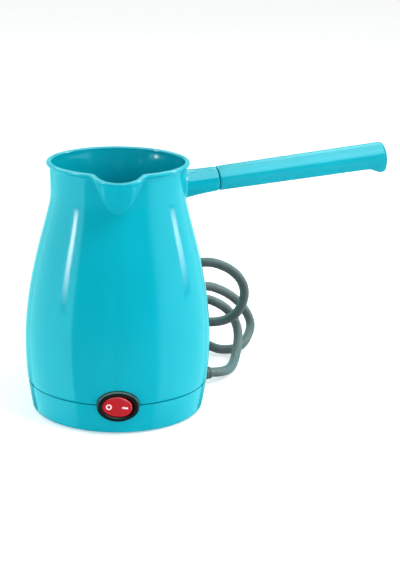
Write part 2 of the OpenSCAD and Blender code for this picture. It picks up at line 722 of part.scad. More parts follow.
fixed_contact = -blade_depth - blade_thick - rivet_thick - rivet_place * tan(blade_tilt) - 0.4;
blade_seat = -blade_depth - blade_thick - 0.2;
module switch_tabs() color("#c9b36a") at_switch() {
    for (i = [-1:1]) translate([i * tab_pitch, 0, 0])
        prism([tab_thick, tab_width, tab_length + 2.5], back_level - tab_length);
    // the middle tab carries the blade, the left one the fixed contact, the right one feeds the lamp
    prism([tab_thick, tab_width - 1, blade_seat - back_level - 1.5], back_level + 1.5);
    translate([-rivet_place, 0, 0]) {
        translate([0, 0, fixed_contact - rivet_thick - 0.2])
            cylinder(r = rivet_radius, h = rivet_thick + 0.2, $fn = 32);
        prism([3.8, tab_width - 1, fixed_contact - rivet_thick - back_level - 1.5], back_level + 1.5);
    }
    translate([tab_pitch, 0, 0]) prism([2, tab_width - 1, 1.5], back_level + 1.5);
}

module neon_lamp() color("#f3b98a") at_switch() {
    lamp = [5.5, -3.3, back_level + 3];
    translate(lamp) cylinder(r = 1.5, h = 4.2, $fn = 24);
    translate(lamp + [0, 0, 4.2]) sphere(r = 1.5, $fn = 24);
}

// ---- inner leads, each from a named end over hand-laid points to another ----

function between(p, i, t) =
    let (a = p[max(i - 1, 0)], b = p[i], c = p[i + 1], d = p[min(i + 2, len(p) - 1)])
    b + t * (c - a) / 2 + t * t * (a - 2.5 * b + 2 * c - d / 2) + t * t * t * (1.5 * (b - c) + (d - a) / 2);
function softened(p, parts) =
    concat([for (i = [0:len(p) - 2], k = [0:parts - 1]) between(p, i, k / parts)], [p[len(p) - 1]]);
module lead(points, first, last, d = lead_d) {
    tube(softened(points, 2), d / 2, 8, first, last);
}
up = [0, 0, 1];
inwards = [0, 1, 0];
cord_way = polar(1, cord_turn, 0);
fuse_way = polar(1, fuse_turn + 90, 0);

crimp_length = 3;
crimp_overlap = 0.4;
receptacle_length = 6.2;
crimp_reach = crimp_overlap + crimp_length;
splice_reach = sleeve_length / 2 + 6;
function core_end(a) =
    let (u = 1.45 * cos(a)) [tail_start * cos(cord_turn) - u * sin(cord_turn),
        tail_start * sin(cord_turn) + u * cos(cord_turn), cord_height + 1.45 * sin(a)];
function switch_end(i) = [i * tab_pitch, -(housing_back - tab_length - crimp_reach), seam_height];
function thermostat_end(s) = [s * thermostat_pitch, 0, thermostat_low - thermostat_tab - crimp_reach];
function element_end(i) = polar(element_ring, element_ends[i], element_tab_top - tab_length - crimp_reach);
function fuse_end(s) = polar(fuse_place, fuse_turn, fuse_height)
    + s * splice_reach * fuse_way;
earth_end = polar(earth_place, earth_turn,
    ring_top - clamp_thick - tab_thick - tab_length - crimp_reach);
shared_crimp = 1.3;

// A push-on receptacle under a tab's end at zero, the tab standing up along Z, its width along Y
module receptacle(crimp = [3.4, 3.4]) {
    difference() {
        prism([2.8, 6, receptacle_length + crimp_overlap], -crimp_overlap);
        prism([tab_thick + 0.1, tab_width + 0.1, 20], 0);
    }
    prism([crimp[0], crimp[1], crimp_length], -crimp_reach);
}
module receptacles() color("#d9d5cc") {
    at_switch() for (i = [-1:1])
        translate([i * tab_pitch, 0, back_level - tab_length]) receptacle();
    for (s = [-1, 1]) translate(thermostat_end(s) + [0, 0, crimp_reach]) receptacle();
    translate(element_end(0) + [0, 0, crimp_reach]) rotate(90) receptacle();
    translate(element_end(1) + [0, 0, crimp_reach]) rotate(90) receptacle([3.4, 5.4]);
    translate(earth_end + [0, 0, crimp_reach]) rotate(earth_turn) receptacle();
    at_fuse() for (s = [-1, 1]) rotate([s > 0 ? 0 : 180, 0, 0])
        translate([0, 0, sleeve_length / 2 + 0.2]) difference() {
            cylinder(r = 1.7, h = 5.8, $fn = 24);
            translate([0, 0, -1]) cylinder(r = 0.52, h = 2.9, $fn = 16);
        }
}
module lead_live() color("#7a4a2a") lead([core_end(90), [22.5, 13.6, 9.8], [18, 9.5, 10],
    [15.5, 0, 11], [13, -10, 13.5], switch_end(0) + [8, 6.4, -1.8],
    switch_end(0) + [1.5, 1.9, 0], switch_end(0)], -cord_way, -inwards);
module lead_switched() color("#7a4a2a") lead([switch_end(-1),
    switch_end(-1) + [0, 1.4, -0.2], switch_end(-1) + [0.5, 6.4, -2.8],
    [-3, -11, 10], [1.5, -5, 6], [4.3, -1, 6.2], thermostat_end(1)], inwards, up);
module lead_fuse() color("#7a4a2a") lead([thermostat_end(-1), [-4.8, 1, 6.5], [-8, 6, 5.4],
    [-13, 15, 5.6], [-17, 25, 8], [-17.5, 33, 13], fuse_end(-1) + [3, 4.8, -9],
    fuse_end(-1) + [2.8, 4.8, -3.5], fuse_end(-1)], -up, fuse_way);
module lead_element() color("#7a4a2a") lead([fuse_end(1), fuse_end(1) + [-2, -4.6, -3],
    fuse_end(1) + [-1.5, -6, -9], fuse_end(1) + [2.8, -6.5, -17], [-30, -5, 7],
    [-26.6, -3.4, 6.4], element_end(0)], fuse_way, up);
module lead_neutral() color("#2a5fa8") lead([core_end(330), [22, 14.6, 6.8], [15, 15.5, 6],
    [7, 19, 5.4], [-2, 24.5, 5], [-9, 27, 4.8], [-12.4, 25.4, 6], element_end(1) - [shared_crimp, 0, 0]],
    -cord_way, up);
module lead_lamp() color("#2a5fa8") lead([switch_end(1),
    switch_end(1) + [1, 2.4, 0], switch_end(1) + [6.5, 9.4, -1.3],
    [17.5, -6, 16], [19, 4, 15], [15, 13.5, 13.5], [6, 19.5, 11.5], [-3, 22.2, 8.4],
    [-8.4, 23.3, 7], element_end(1) + [shared_crimp, 0, 0]], inwards, up, 1.8);
module lead_earth() color("#7fa83a") lead([core_end(210), [24, 12, 7.2], [23.5, 8.6, 8],
    [26, 6.5, 10.5], [32, 6.5, 13], [38, 9.5, 14], [earth_end[0], earth_end[1] - 1, 15], earth_end],
    -cord_way, up);

// ---- cord way out ----

relief_neck = 4.2;
relief_collar = 5.6;
collar_thick = 2.4;
relief_flange = 5;
flange_thick = 1.5;
relief_start = low_radius(cord_height) - wall - 3.2;
flange_seat = low_radius(cord_height + relief_flange) - 0.05;
module strain_relief() color("#55595c") at_cord() {
    bore = cord_d / 2 + 0.02;
    rotate_extrude($fn = 40) polygon([[bore, relief_start], [relief_collar, relief_start],
        [relief_collar, relief_start + collar_thick], [relief_neck, relief_start + collar_thick],
        [relief_neck, flange_seat], [relief_flange, flange_seat],
        [relief_flange, flange_seat + flange_thick], [4, relief_end - 1], [3.6, relief_end],
        [bore, relief_end]]);
}
module cord_tail() color("#55595c") at_cord()
    translate([0, 0, tail_start]) cylinder(r = cord_d / 2, h = relief_end - tail_start, $fn = 32);

clamp_hole = 6.6;
module cord_clamp() color("#3a3d40") rotate(cord_turn) translate([clamp_place, 0, cord_height + 0.4])
    difference() {
        prism(clamp_size, 0);
        translate([-10, 0, -0.4]) rotate([0, 90, 0]) cylinder(r = cord_d / 2, h = 20, $fn = 32);
        for (s = [-1, 1]) translate([0, s * clamp_hole, -1])
            cylinder(r = screw_d / 2 + hole_gap, h = 10, $fn = 24);
    }
module cord_clamp_screws() color("silver") rotate(cord_turn) for (s = [-1, 1])
    translate([clamp_place, s * clamp_hole, cord_height + 0.4 + clamp_size[2]]) rotate([180, 0, 0])
        pan_screw(screw_d, 8, head_radius, head_thick);

// ---- lead on the table ----

// Points along the lead's axis from the strain relief to the plug: out over the table, up into a
// bundle of loops that a tie holds behind the jug, and down to the plug
cord_points = [
    polar(relief_end, cord_turn, cord_height),
    [64, 38.5, 6.6], [69, 46, 5], [73, 55, 4.3], [75.5, 64.5, 5], [77.5, 73, 8],
    [79, 80, 13], [79, 85, 19.5], [76.5, 87.5, 26.5], [72, 87.5, 32.5],
    [65.5, 85.5, 37.5], [58, 83, 41], [46, 80, 43],
    [30, 76, 42], [12, 72, 39], [-10, 68, 40], [-24, 67, 43], [-34, 67, 43], [-44, 67, 40],
    [-51, 68, 33], [-54, 68, 24], [-51, 68, 14], [-44, 67, 7], [-34, 67, 4], [-23, 67, 5],
    [-12, 67, 10], [0, 69, 20], [12, 72, 31], [30, 73, 32], [47, 72, 30], [60, 70, 29.5],
    [69, 68, 31.5], [76, 66, 36.5], [80, 65, 44], [81, 64.5, 52], [78.5, 64, 59.5], [73, 63.5, 65.5],
    [66, 63, 69.5], [58, 63, 71.5], [48, 64.5, 70], [37, 68, 63.5], [26, 73, 55], [12, 78, 45],
    [-10, 84, 42], [-24, 88, 43], [-34, 90, 43], [-44, 91, 40], [-51, 92, 33], [-54, 92, 24],
    [-51, 92, 14], [-44, 91, 7], [-34, 91, 4], [-23, 90, 5], [-12, 87, 10], [0, 82, 20],
    [12, 79, 30], [27, 83, 38], [43, 93, 43], [58, 101, 44.5], [70, 107, 39.5], [80, 110, 32],
    [87, 110.5, 23], [89.5, 108, 15.5], [87.5, 103, 9.5], [83, 96, 5.5], [76, 90.5, 4.2], [66.5, 88.5, 5],
    [58, 92, 7.5], [51, 98, 8.5], [46, 106, 7.5], [44.5, 115, 7], [45.5, 124, 8.5], [45, 132.5, 11.5], [40.5, 140, 15.5],
    [33, 144.5, 18], [24, 146, 18.8]];
module power_cord() color("#55595c")
    tube(softened(cord_points, 2), cord_d / 2, 10, cord_way, [-1, 0, 0]);

tie_place = [12, 75.6, 37];
tie_size = [4, 18.2, 27];
module cord_tie() color("#2a2c2e") translate(tie_place) difference() {
    prism(tie_size, -tie_size[2] / 2);
    prism([10, tie_size[1] - 1.6, tie_size[2] - 1.6], -tie_size[2] / 2 + 0.8);
}

// ---- plug, lying on the table with its axis along X ----

plug_place = [24, 146, plug_d / 2];
plug_boot = 20;
plug_grip = 24;
plug_disc = 13;
plug_face = plug_boot + plug_grip + plug_disc;
module at_plug() {
    translate(plug_place) rotate([0, -90, 0]) children();
}
module plug_body() color("#55595c") at_plug() difference() {
    rotate_extrude($fn = 64) polygon([[0, 0], [4, 0], [4.4, 2], [6.5, plug_boot - 1], [9, plug_boot],
        [11, plug_boot + 4], [12.5, plug_boot + 12], [13.5, plug_boot + plug_grip - 4],
        [plug_d / 2 - 2, plug_boot + plug_grip], [plug_d / 2, plug_boot + plug_grip + 2],
        [plug_d / 2, plug_face - 1], [plug_d / 2 - 1, plug_face], [0, plug_face]]);
    for (s = [-1, 1]) {
        translate([0, s * plug_pitch / 2, plug_face - pin_root])
            cylinder(r = plug_pin_d / 2 - pin_step + thread_gap, h = 10, $fn = 32);
        translate([s * plug_d / 2, 0, plug_face - 10]) prism([5, 7, 12], 0);
    }
}
pin_root = 8;
pin_step = 0.3;
pin_tip = 1.2;
module plug_pins() color("#c8cccf") at_plug() for (s = [-1, 1])
    translate([0, s * plug_pitch / 2, plug_face]) {
        translate([0, 0, -pin_root]) cylinder(r = plug_pin_d / 2 - pin_step, h = pin_root, $fn = 32);
        cylinder(r = plug_pin_d / 2, h = plug_pin_length - pin_tip, $fn = 32);
        translate([0, 0, plug_pin_length - pin_tip])
            cylinder(r1 = plug_pin_d / 2, r2 = plug_pin_d / 2 - pin_tip, h = pin_tip, $fn = 32);
    }
module plug_earth_clips() color("#c9b36a") at_plug() for (s = [-1, 1])
    translate([s * (plug_d / 2 - 2.1), 0, plug_face - 10]) prism([0.8, 4, 10], 0);

jug_wall();
jug_floor();
screw_posts();
handle_stub();
base_cover();
foot_ring();
base_screws();
handle_grip();
handle_cap();
handle_screw();
handle_insert();
heating_plate();
plate_gasket();
clamp_ring();
clamp_screws();
diffuser_plate();
heating_element();
element_ceramics();
element_tabs();
thermostat_cup();
thermostat_body();
thermostat_flange();
thermostat_screws();
thermostat_tabs();
thermal_fuse();
fuse_sleeve();
fuse_clip();
earth_tab();
switch_housing();
switch_rocker();
rocker_marks();
switch_plunger();
switch_spring();
switch_contact();
switch_tabs();
neon_lamp();
receptacles();
lead_live();
lead_switched();
lead_fuse();
lead_element();
lead_neutral();
lead_lamp();
lead_earth();
strain_relief();
cord_tail();
cord_clamp();
cord_clamp_screws();
power_cord();
cord_tie();
plug_body();
plug_pins();
plug_earth_clips();
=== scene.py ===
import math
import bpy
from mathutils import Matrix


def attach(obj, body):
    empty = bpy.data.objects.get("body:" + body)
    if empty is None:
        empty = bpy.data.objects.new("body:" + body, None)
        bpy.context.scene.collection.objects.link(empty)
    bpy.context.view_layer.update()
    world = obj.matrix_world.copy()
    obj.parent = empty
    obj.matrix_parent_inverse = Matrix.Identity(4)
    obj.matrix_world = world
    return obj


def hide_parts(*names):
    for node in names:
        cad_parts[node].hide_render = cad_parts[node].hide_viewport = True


bl_info = {
    "name": "Electric Coffee Pot",
    "version": (1, 0, 0),
    "blender": (4, 5, 0),
    "location": "3D View > Sidebar > Coffee Pot",
    "description": "Dresses the packed coffee pot: jug, handle, base, switch, heater, leads and studio",
    "category": "Object",
}

import bpy
import numpy as np
from mathutils import Matrix, Vector

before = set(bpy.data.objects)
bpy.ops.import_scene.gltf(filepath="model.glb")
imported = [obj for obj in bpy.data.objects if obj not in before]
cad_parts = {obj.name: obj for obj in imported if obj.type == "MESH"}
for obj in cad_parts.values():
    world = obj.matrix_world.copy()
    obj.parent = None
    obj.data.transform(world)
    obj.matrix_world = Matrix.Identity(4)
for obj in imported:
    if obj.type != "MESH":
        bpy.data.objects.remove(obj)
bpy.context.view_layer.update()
MM = 0.001

# ---- main sizes of the pot, in millimetres, as in the CAD model ----
BELLY_RADIUS, BELLY_HEIGHT, BASE_TAPER = 55.0, 42.0, 4.3
NECK_RADIUS, NECK_HEIGHT = 39.4, 131.5
LIP_RADIUS, LIP_HEIGHT, LIP_FOOT, LIP_SETBACK = 40.0, 148.8, 146.4, 0.75
WALL, LIP_THINNING = 2.6, 1.3
SEAM_HEIGHT, SEAM_TOP = 18.8, 19.05
FLOOR_UNDER, FLOOR_TOP, FLOOR_FILLET = 33.0, 35.6, 2.0
RIDGE_FADE = 6.0
SPOUT_FOOT, SPOUT_HALF, SPOUT_REACH, SPOUT_DROP = 127.2, 13.1, 11.5, 2.2
HANDLE_HEIGHT, HANDLE_TILT, HANDLE_TURN = 131.3, math.radians(6), math.radians(11)
GRIP_START, GRIP_END, GRIP_GROWTH, STOP_DROP = 60.0, 164.0, 0.65, 2.9
GRIP_HALF, GRIP_RISE, CAP_SHARE, HANDLE_SIDES = 8.5, 7.2, 0.985, 96
ARM_END, ARM_FACE, INSERT_END, INSERT_BORE = 58.5, 59.5, 47.1, 3.6
SCREW_WELL, SCREW_BORE, WELL_DEPTH = 4.6, 2.2, 70.0
PIVOT_PLACE, SEAT_LEVEL, BACK_LEVEL, ROCKER_LEAN = 52.288, -0.1, -15.1, math.radians(9)
# half width and half height of the switch's ovals
POCKET_OVAL, FLANGE_OVAL, BEZEL_OVAL, HOUSING_OVAL, HOLLOW_OVAL, ROCKER_OVAL = (
    (10.65, 7.8), (12.55, 9.55), (12.4, 9.4), (10.5, 7.655), (9.3, 6.455), (8.65, 6.0))
CORD_TURN, CORD_HEIGHT, CORD_RADIUS = math.radians(30), 8.0, 3.0
RELIEF_BORE, RELIEF_END = 3.05, 67.18
STRAP_PLACE, STRAP_STRANDS = 12.0, [(72, 39), (72, 31), (78, 45), (79, 30)]

# The rolled lip's section, from the outside over its top to the inside: out from its line, and up
LIP_SECTION = [
    (0.0, 147.6), (0.3, 147.95), (1.15, 148.3), (1.55, 148.8), (1.7, 149.35), (1.55, 149.95),
    (1.05, 150.35), (0.3, 150.5), (-0.5, 150.45), (-1.05, 150.1), (-1.3, 149.5), (-1.3, 148.8),
]

# The mains lead's way, from the strain relief over the table, into four strands that a strap holds
# behind the jug, and down to the plug
CORD_WAY = [
    (58.18, 33.59, 8), (64, 38.5, 6.6), (69, 46, 5), (73, 55, 4.3), (75.5, 64.5, 5), (77.5, 73, 8),
    (79, 80, 13), (79, 85, 19.5), (76.5, 87.5, 26.5), (72, 87.5, 32.5), (65.5, 85.5, 37.5),
    (58, 83, 41), (46, 80, 43), (30, 76, 42), (12, 72, 39), (-10, 68, 40), (-24, 67, 43),
    (-34, 67, 43), (-44, 67, 40), (-51, 68, 33), (-54, 68, 24), (-51, 68, 14), (-44, 67, 7),
    (-34, 67, 4), (-23, 67, 5), (-12, 67, 10), (0, 69, 20), (12, 72, 31), (30, 73, 32),
    (47, 72, 30), (60, 70, 29.5), (69, 68, 31.5), (76, 66, 36.5), (80, 65, 44), (81, 64.5, 52),
    (78.5, 64, 59.5), (73, 63.5, 65.5), (66, 63, 69.5), (58, 63, 71.5), (48, 64.5, 70),
    (37, 68, 63.5), (26, 73, 55), (12, 78, 45), (-10, 84, 42), (-24, 88, 43), (-34, 90, 43),
    (-44, 91, 40), (-51, 92, 33), (-54, 92, 24), (-51, 92, 14), (-44, 91, 7), (-34, 91, 4),
    (-23, 90, 5), (-12, 87, 10), (0, 82, 20), (12, 79, 30), (27, 83, 38), (43, 93, 43),
    (58, 101, 44.5), (70, 107, 39.5), (80, 110, 32), (87, 110.5, 23), (89.5, 108, 15.5),
    (87.5, 103, 9.5), (83, 96, 5.5), (76, 90.5, 4.2), (66.5, 88.5, 5), (58, 92, 7.5),
    (51, 98, 8.5), (46, 106, 7.5), (44.5, 115, 7), (45.5, 124, 8.5), (45, 132.5, 11.5),
    (40.5, 140, 15.5), (33, 144.5, 18), (24, 146, 18.8),
]
PLUG_PLACE, PLUG_RADIUS = (24.0, 146.0, 18.8), 18.8

# The camera's place, and its yaw, pitch and roll in degrees
CAMERA_PLACE, CAMERA_TURN = (-4.4, -900.0, 340.9), (-3.38, 16.43, 1.01)

# Panels that only gloss shows, on spheres about the pot: sides and heights in degrees from the front
# and from level, brightness, widths over which the left, right and other edges fade, radius, tint
PANELS = [
    ("back_panel", (142, 218), (-30, 70), 1.4, (3, 3, 10), 1400, None),
    ("left_panel", (-158, -56), (-50, 45), 2.0, (18, 1.5, 22), 1420, None),
    ("right_panel", (44, 150), (-50, 45), 1.8, (16, 3, 22), 1420, None),
    ("floor_glow", (-180, 180), (-88, -8), 0.2, (1, 1, 10), 1460, None),
    ("left_strip", (-77, -67), (-4, 42), 17.0, (4, 4, 20), 1300, "#ffffff"),
    ("right_strip", (93, 107), (-4, 42), 14.0, (7, 5, 20), 1300, "#ffffff"),
    ("top_panel", (-180, 180), (27, 88), 4.5, (1, 1, 6), 1400, "#bcf2ee"),
]
PANEL_HEIGHT = 80.0


# ---- meshes ----

def mesh_piece(name, points, faces, crease=40):
    """Makes one closed piece from points in millimetres, smooth but for edges sharper than crease."""
    mesh = bpy.data.meshes.new(name)
    mesh.from_pydata((np.asarray(points, float) * MM).tolist(), [], faces)
    mesh.validate()
    piece = bpy.data.objects.new(name, mesh)
    bpy.context.scene.collection.objects.link(piece)
    soften(piece, crease)
    return piece


def soften(piece, crease):
    """Shades a mesh smooth and keeps the edges sharper than crease, in degrees."""
    piece.data.shade_smooth()
    piece.data.set_sharp_from_angle(angle=math.radians(crease))


def skin(rings, loop=False):
    """Points and faces over rings of equal counts, closed by end faces or back onto the first ring."""
    rings = np.asarray(rings, float)
    count, around = rings.shape[:2]
    index = np.arange(count * around).reshape(count, around)
    if loop:
        index = np.vstack([index, index[:1]])
    here, there = index[:-1], index[1:]
    faces = np.stack([here, np.roll(here, -1, 1), np.roll(there, -1, 1), there], axis=-1)
    faces = faces.reshape(-1, 4).tolist()
    if not loop:
        faces += [index[0, ::-1].tolist(), index[-1].tolist()]
    return rings.reshape(-1, 3), faces


def joined(*shells):
    """Several closed shells as the points and faces of one piece."""
    points, faces, start = [], [], 0
    for shell_points, shell_faces in shells:
        points.append(shell_points)
        faces += [[start + i for i in face] for face in shell_faces]
        start += len(shell_points)
    return np.vstack(points), faces


def turned(section, sides):
    """Rings of a section of (radius, height) points turned about Z."""
    angles = np.linspace(0, 2 * math.pi, sides, endpoint=False)
    return [np.stack([r * np.cos(angles), r * np.sin(angles), np.full(sides, z)], 1)
            for r, z in section]


def flat_ring(outline, z):
    """An outline in plan at the height z, which is one for all its points or one for each."""
    return np.column_stack([outline, np.full(len(outline), z)])


def oval_ring(halves, z, inset=0.0, count=120):
    """One of the switch's ovals at the height z, moved in by inset all round."""
    wide, high = halves[0] - inset, halves[1] - inset
    return flat_ring(oval(wide, high, high, count), z)


def upright_ring(x, outline):
    """An outline of (across, up) points stood up at x."""
    return np.column_stack([np.full(len(outline), x), outline])


def placed(shell, matrix):
    """A shell's points moved by a 4x4 matrix in millimetres."""
    points, faces = shell
    matrix = np.array(matrix)
    return points @ matrix[:3, :3].T + matrix[:3, 3], faces


def oval(half, up, down, count):
    """Points of an oval with its own half height above and below its axis."""
    t = np.linspace(0, 2 * math.pi, count, endpoint=False)
    rise = np.where(np.sin(t) < 0, down, up)
    return np.stack([half * np.cos(t), rise * np.sin(t)], 1)


def smooth_way(points, parts):
    """A Catmull-Rom line through the points, each stretch cut into parts."""
    p = np.asarray(points, float)
    padded = np.vstack([p[:1], p, p[-1:]])
    line = []
    for a, b, c, d in zip(padded, padded[1:], padded[2:], padded[3:]):
        for t in np.arange(parts) / parts:
            line.append(b + t * (c - a) / 2 + t**2 * (a - 2.5 * b + 2 * c - d / 2)
                        + t**3 * (1.5 * (b - c) + (d - a) / 2))
    return np.array(line + [p[-1]])


def tube_rings(line, section, first, last):
    """Rings of a section of (across, up) points carried along a line without twist."""
    way = np.gradient(line, axis=0)
    way[0], way[-1] = first, last
    way /= np.linalg.norm(way, axis=1)[:, None]
    across = np.array([0.0, 0.0, 1.0])
    rings = []
    for point, tangent in zip(line, way):
        across = across - (across @ tangent) * tangent
        across /= np.linalg.norm(across)
        other = np.cross(across, tangent)
        rings.append(point + section[:, :1] * across + section[:, 1:] * other)
    return rings


def cut(piece, *cutters):
    """Takes the cutters' space out of a piece and removes the cutters."""
    for cutter in cutters:
        step = piece.modifiers.new("cut", "BOOLEAN")
        step.operation, step.solver, step.object = "DIFFERENCE", "EXACT", cutter
    bpy.context.view_layer.update()
    made = bpy.data.meshes.new_from_object(
        piece.evaluated_get(bpy.context.evaluated_depsgraph_get()))
    piece.modifiers.clear()
    piece.data = made
    for cutter in cutters:
        bpy.data.objects.remove(cutter)
    if not made.polygons:
        raise RuntimeError(f"nothing is left of {piece.name} after its cut")


def dress(piece, material, body="jug", instead_of=()):
    """Gives a new piece its material and body, and hides the CAD nodes that it stands for."""
    piece.data.materials.clear()
    piece.data.materials.append(material)
    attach(piece, body)
    if instead_of:
        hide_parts(*instead_of)


def dress_cad(material, *names, crease=38):
    """Gives CAD nodes their material and smooth shading."""
    for name in names:
        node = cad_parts[name]
        if not node.material_slots:
            node.data.materials.append(material)
        for entry in node.material_slots:
            entry.material = material
        soften(node, crease)


# ---- materials ----

def linear(colour):
    """An sRGB hex colour, such as "#12b4c8", as the linear RGBA that shaders take."""
    parts = [int(colour[i:i + 2], 16) / 255 for i in (1, 3, 5)]
    return [p / 12.92 if p <= 0.04045 else ((p + 0.055) / 1.055) ** 2.4 for p in parts] + [1.0]


def add_node(tree, kind, inputs=None, **settings):
    """Adds one node with its settings, and fills its sockets with values or links."""
    item = tree.nodes.new(kind)
    for name, value in settings.items():
        setattr(item, name, value)
    for socket, value in (inputs or {}).items():
        if isinstance(value, bpy.types.NodeSocket):
            tree.links.new(value, item.inputs[socket])
        else:
            item.inputs[socket].default_value = value
    return item


def start_material(name, **surface):
    """A new material with a Principled surface, its constants set on the shader itself."""
    material = bpy.data.materials.new(name)
    material.use_nodes = True
    tree = material.node_tree
    shader = tree.nodes["Principled BSDF"]
    for socket, value in surface.items():
        shader.inputs[socket.replace("_", " ")].default_value = value
    return material, tree, shader


def mottle(tree, grain_mm, stretch=(1, 1, 1), detail=3.0):
    """Noise in real millimetres: one grain is about grain_mm across, drawn out by stretch."""
    place = add_node(tree, "ShaderNodeTexCoord")
    scaled = add_node(tree, "ShaderNodeMapping", {"Vector": place.outputs["Object"], "Scale": stretch})
    return add_node(
        tree, "ShaderNodeTexNoise",
        {"Vector": scaled.outputs["Vector"], "Scale": 1000 / grain_mm, "Detail": detail},
    ).outputs["Fac"]


def spread(tree, source, low, high):
    """Takes the middle of a noise to the range from low to high."""
    return add_node(
        tree, "ShaderNodeMapRange",
        {"Value": source, "From Min": 0.3, "From Max": 0.7, "To Min": low, "To Max": high},
    ).outputs["Result"]


def tinted(tree, shader, source, dark, light):
    """Colours a surface between two sRGB hex colours by a noise."""
    mix = add_node(
        tree, "ShaderNodeMix",
        {0: spread(tree, source, 0.0, 1.0), 6: linear(dark), 7: linear(light)}, data_type="RGBA")
    tree.links.new(mix.outputs[2], shader.inputs["Base Color"])


def dulled(tree, shader, source, low, high):
    """Varies a surface's roughness from low to high by a noise."""
    tree.links.new(spread(tree, source, low, high), shader.inputs["Roughness"])


def raised(tree, shader, source, height_mm, strength=0.6):
    """Lets a pattern stand out by height_mm."""
    bump = add_node(
        tree, "ShaderNodeBump",
        {"Height": source, "Distance": height_mm * MM, "Strength": strength})
    tree.links.new(bump.outputs["Normal"], shader.inputs["Normal"])


def polished_abs(name, colour, roughness):
    """ABS moulded in a polished tool: a clear gloss over an even colour.

    The eye sees soft flow marks a few centimetres long and a very low orange peel, about 6 mm
    from wave to wave, that makes reflections waver slightly.
    """
    material, tree, shader = start_material(name, IOR=1.53)
    flow = mottle(tree, 26, (1, 1, 0.35), 2.0)
    tinted(tree, shader, flow, *colour)
    haze = mottle(tree, 3.5, detail=4.0)
    dulled(tree, shader, haze, roughness * 0.85, roughness * 1.2)
    raised(tree, shader, mottle(tree, 6, detail=1.0), 0.01, 0.5)
    return material


def glossy_nylon(name, dark, light, roughness, grain_mm):
    """Glass-filled nylon or phenolic: moulded, with a fine cloudy skin where filler shows."""
    material, tree, shader = start_material(name, IOR=1.53)
    cloud = mottle(tree, grain_mm, detail=5.0)
    tinted(tree, shader, cloud, dark, light)
    dulled(tree, shader, cloud, roughness * 0.8, roughness * 1.3)
    raised(tree, shader, cloud, 0.02, 0.4)
    return material


def lit_polycarbonate(name, dark, light):
    """Tinted polycarbonate over a lamp: glossy, with light that sinks in and warms thin edges."""
    material, tree, shader = start_material(
        name, IOR=1.58, Subsurface_Weight=0.35, Subsurface_Scale=0.002, Coat_Weight=0.4)
    tinted(tree, shader, mottle(tree, 5, detail=2.0), dark, light)
    dulled(tree, shader, mottle(tree, 1.2), 0.1, 0.17)
    return material


def satin_pvc(name, dark, light):
    """Extruded PVC sheath: satin, with a fine grain and faint dusty patches."""
    material, tree, shader = start_material(name, IOR=1.53, Sheen_Weight=0.08)
    patch = mottle(tree, 7, detail=4.0)
    tinted(tree, shader, patch, dark, light)
    dulled(tree, shader, patch, 0.34, 0.46)
    # the real matt skin has grains of 0.1 mm; drawn at 0.6 mm so that it shows
    raised(tree, shader, mottle(tree, 0.6), 0.02, 0.5)
    return material


def silicone(name, dark, light):
    """Cured silicone rubber: matt and slightly soft, with light that spreads below the skin."""
    material, tree, shader = start_material(
        name, IOR=1.41, Roughness=0.6, Subsurface_Weight=0.15, Subsurface_Scale=0.001)
    tinted(tree, shader, mottle(tree, 2.5), dark, light)
    raised(tree, shader, mottle(tree, 0.7), 0.03, 0.5)
    return material


def turned_stainless(name, dark, light):
    """Stainless sheet finished on a lathe: rings about the jug's axis that draw out the gloss."""
    material, tree, shader = start_material(name, Metallic=1.0)
    place = add_node(tree, "ShaderNodeTexCoord")
    flat = add_node(
        tree, "ShaderNodeVectorMath", {0: place.outputs["Object"], 1: (1, 1, 0)}, operation="MULTIPLY")
    radius = add_node(tree, "ShaderNodeVectorMath", {0: flat.outputs[0]}, operation="LENGTH")
    # turning marks are about 0.05 mm apart; drawn 0.5 mm apart so that they show
    rings = add_node(
        tree, "ShaderNodeTexNoise",
        {"W": radius.outputs["Value"], "Scale": 2000.0, "Detail": 2.0},
        noise_dimensions="1D",
    ).outputs["Fac"]
    tinted(tree, shader, rings, dark, light)
    dulled(tree, shader, rings, 0.22, 0.36)
    raised(tree, shader, rings, 0.01, 0.5)
    return material


def sheet_metal(name, dark, light, roughness, grain_mm=2.0, stretch=(1, 1, 1)):
    """Rolled or drawn metal: grain along the rolling, dull spots from handling and heat."""
    material, tree, shader = start_material(name, Metallic=1.0)
    grain = mottle(tree, grain_mm, stretch, 4.0)
    tinted(tree, shader, grain, dark, light)
    dulled(tree, shader, grain, roughness * 0.75, roughness * 1.3)
    raised(tree, shader, mottle(tree, 0.5, stretch), 0.01, 0.4)
    return material


def fired_ceramic(name, dark, light):
    """Unglazed steatite: chalky, with a fine even grit."""
    material, tree, shader = start_material(name, IOR=1.6, Roughness=0.75)
    tinted(tree, shader, mottle(tree, 1.5), dark, light)
    raised(tree, shader, mottle(tree, 0.4), 0.03, 0.5)
    return material


def woven(name, dark, light, thread_mm, roughness):
    """Braided or woven yarn: crossing threads thread_mm wide that stand up between the gaps."""
    material, tree, shader = start_material(name, Roughness=roughness, Sheen_Weight=0.3)
    place = add_node(tree, "ShaderNodeTexCoord")
    waves = []
    for turn in (45, -45):
        turned_place = add_node(
            tree, "ShaderNodeMapping",
            {"Vector": place.outputs["Object"], "Rotation": [math.radians(turn)] * 3})
        waves.append(add_node(
            tree, "ShaderNodeTexWave",
            {"Vector": turned_place.outputs["Vector"], "Scale": 1000 / (2 * math.pi * thread_mm)},
        ).outputs["Fac"])
    weave = add_node(tree, "ShaderNodeMath", {0: waves[0], 1: waves[1]}, operation="MAXIMUM")
    weave = weave.outputs["Value"]
    # the gaps between the threads are painted darker than their crowns: painted shade in the weave
    tinted(tree, shader, weave, dark, light)
    raised(tree, shader, weave, 0.2, 0.6)
    return material


def printed_ink(name, dark, light):
    """Pad-printed ink: thin, slightly uneven and less glossy than what it lies on."""
    material, tree, shader = start_material(name, IOR=1.5, Roughness=0.35)
    tinted(tree, shader, mottle(tree, 0.8), dark, light)
    return material


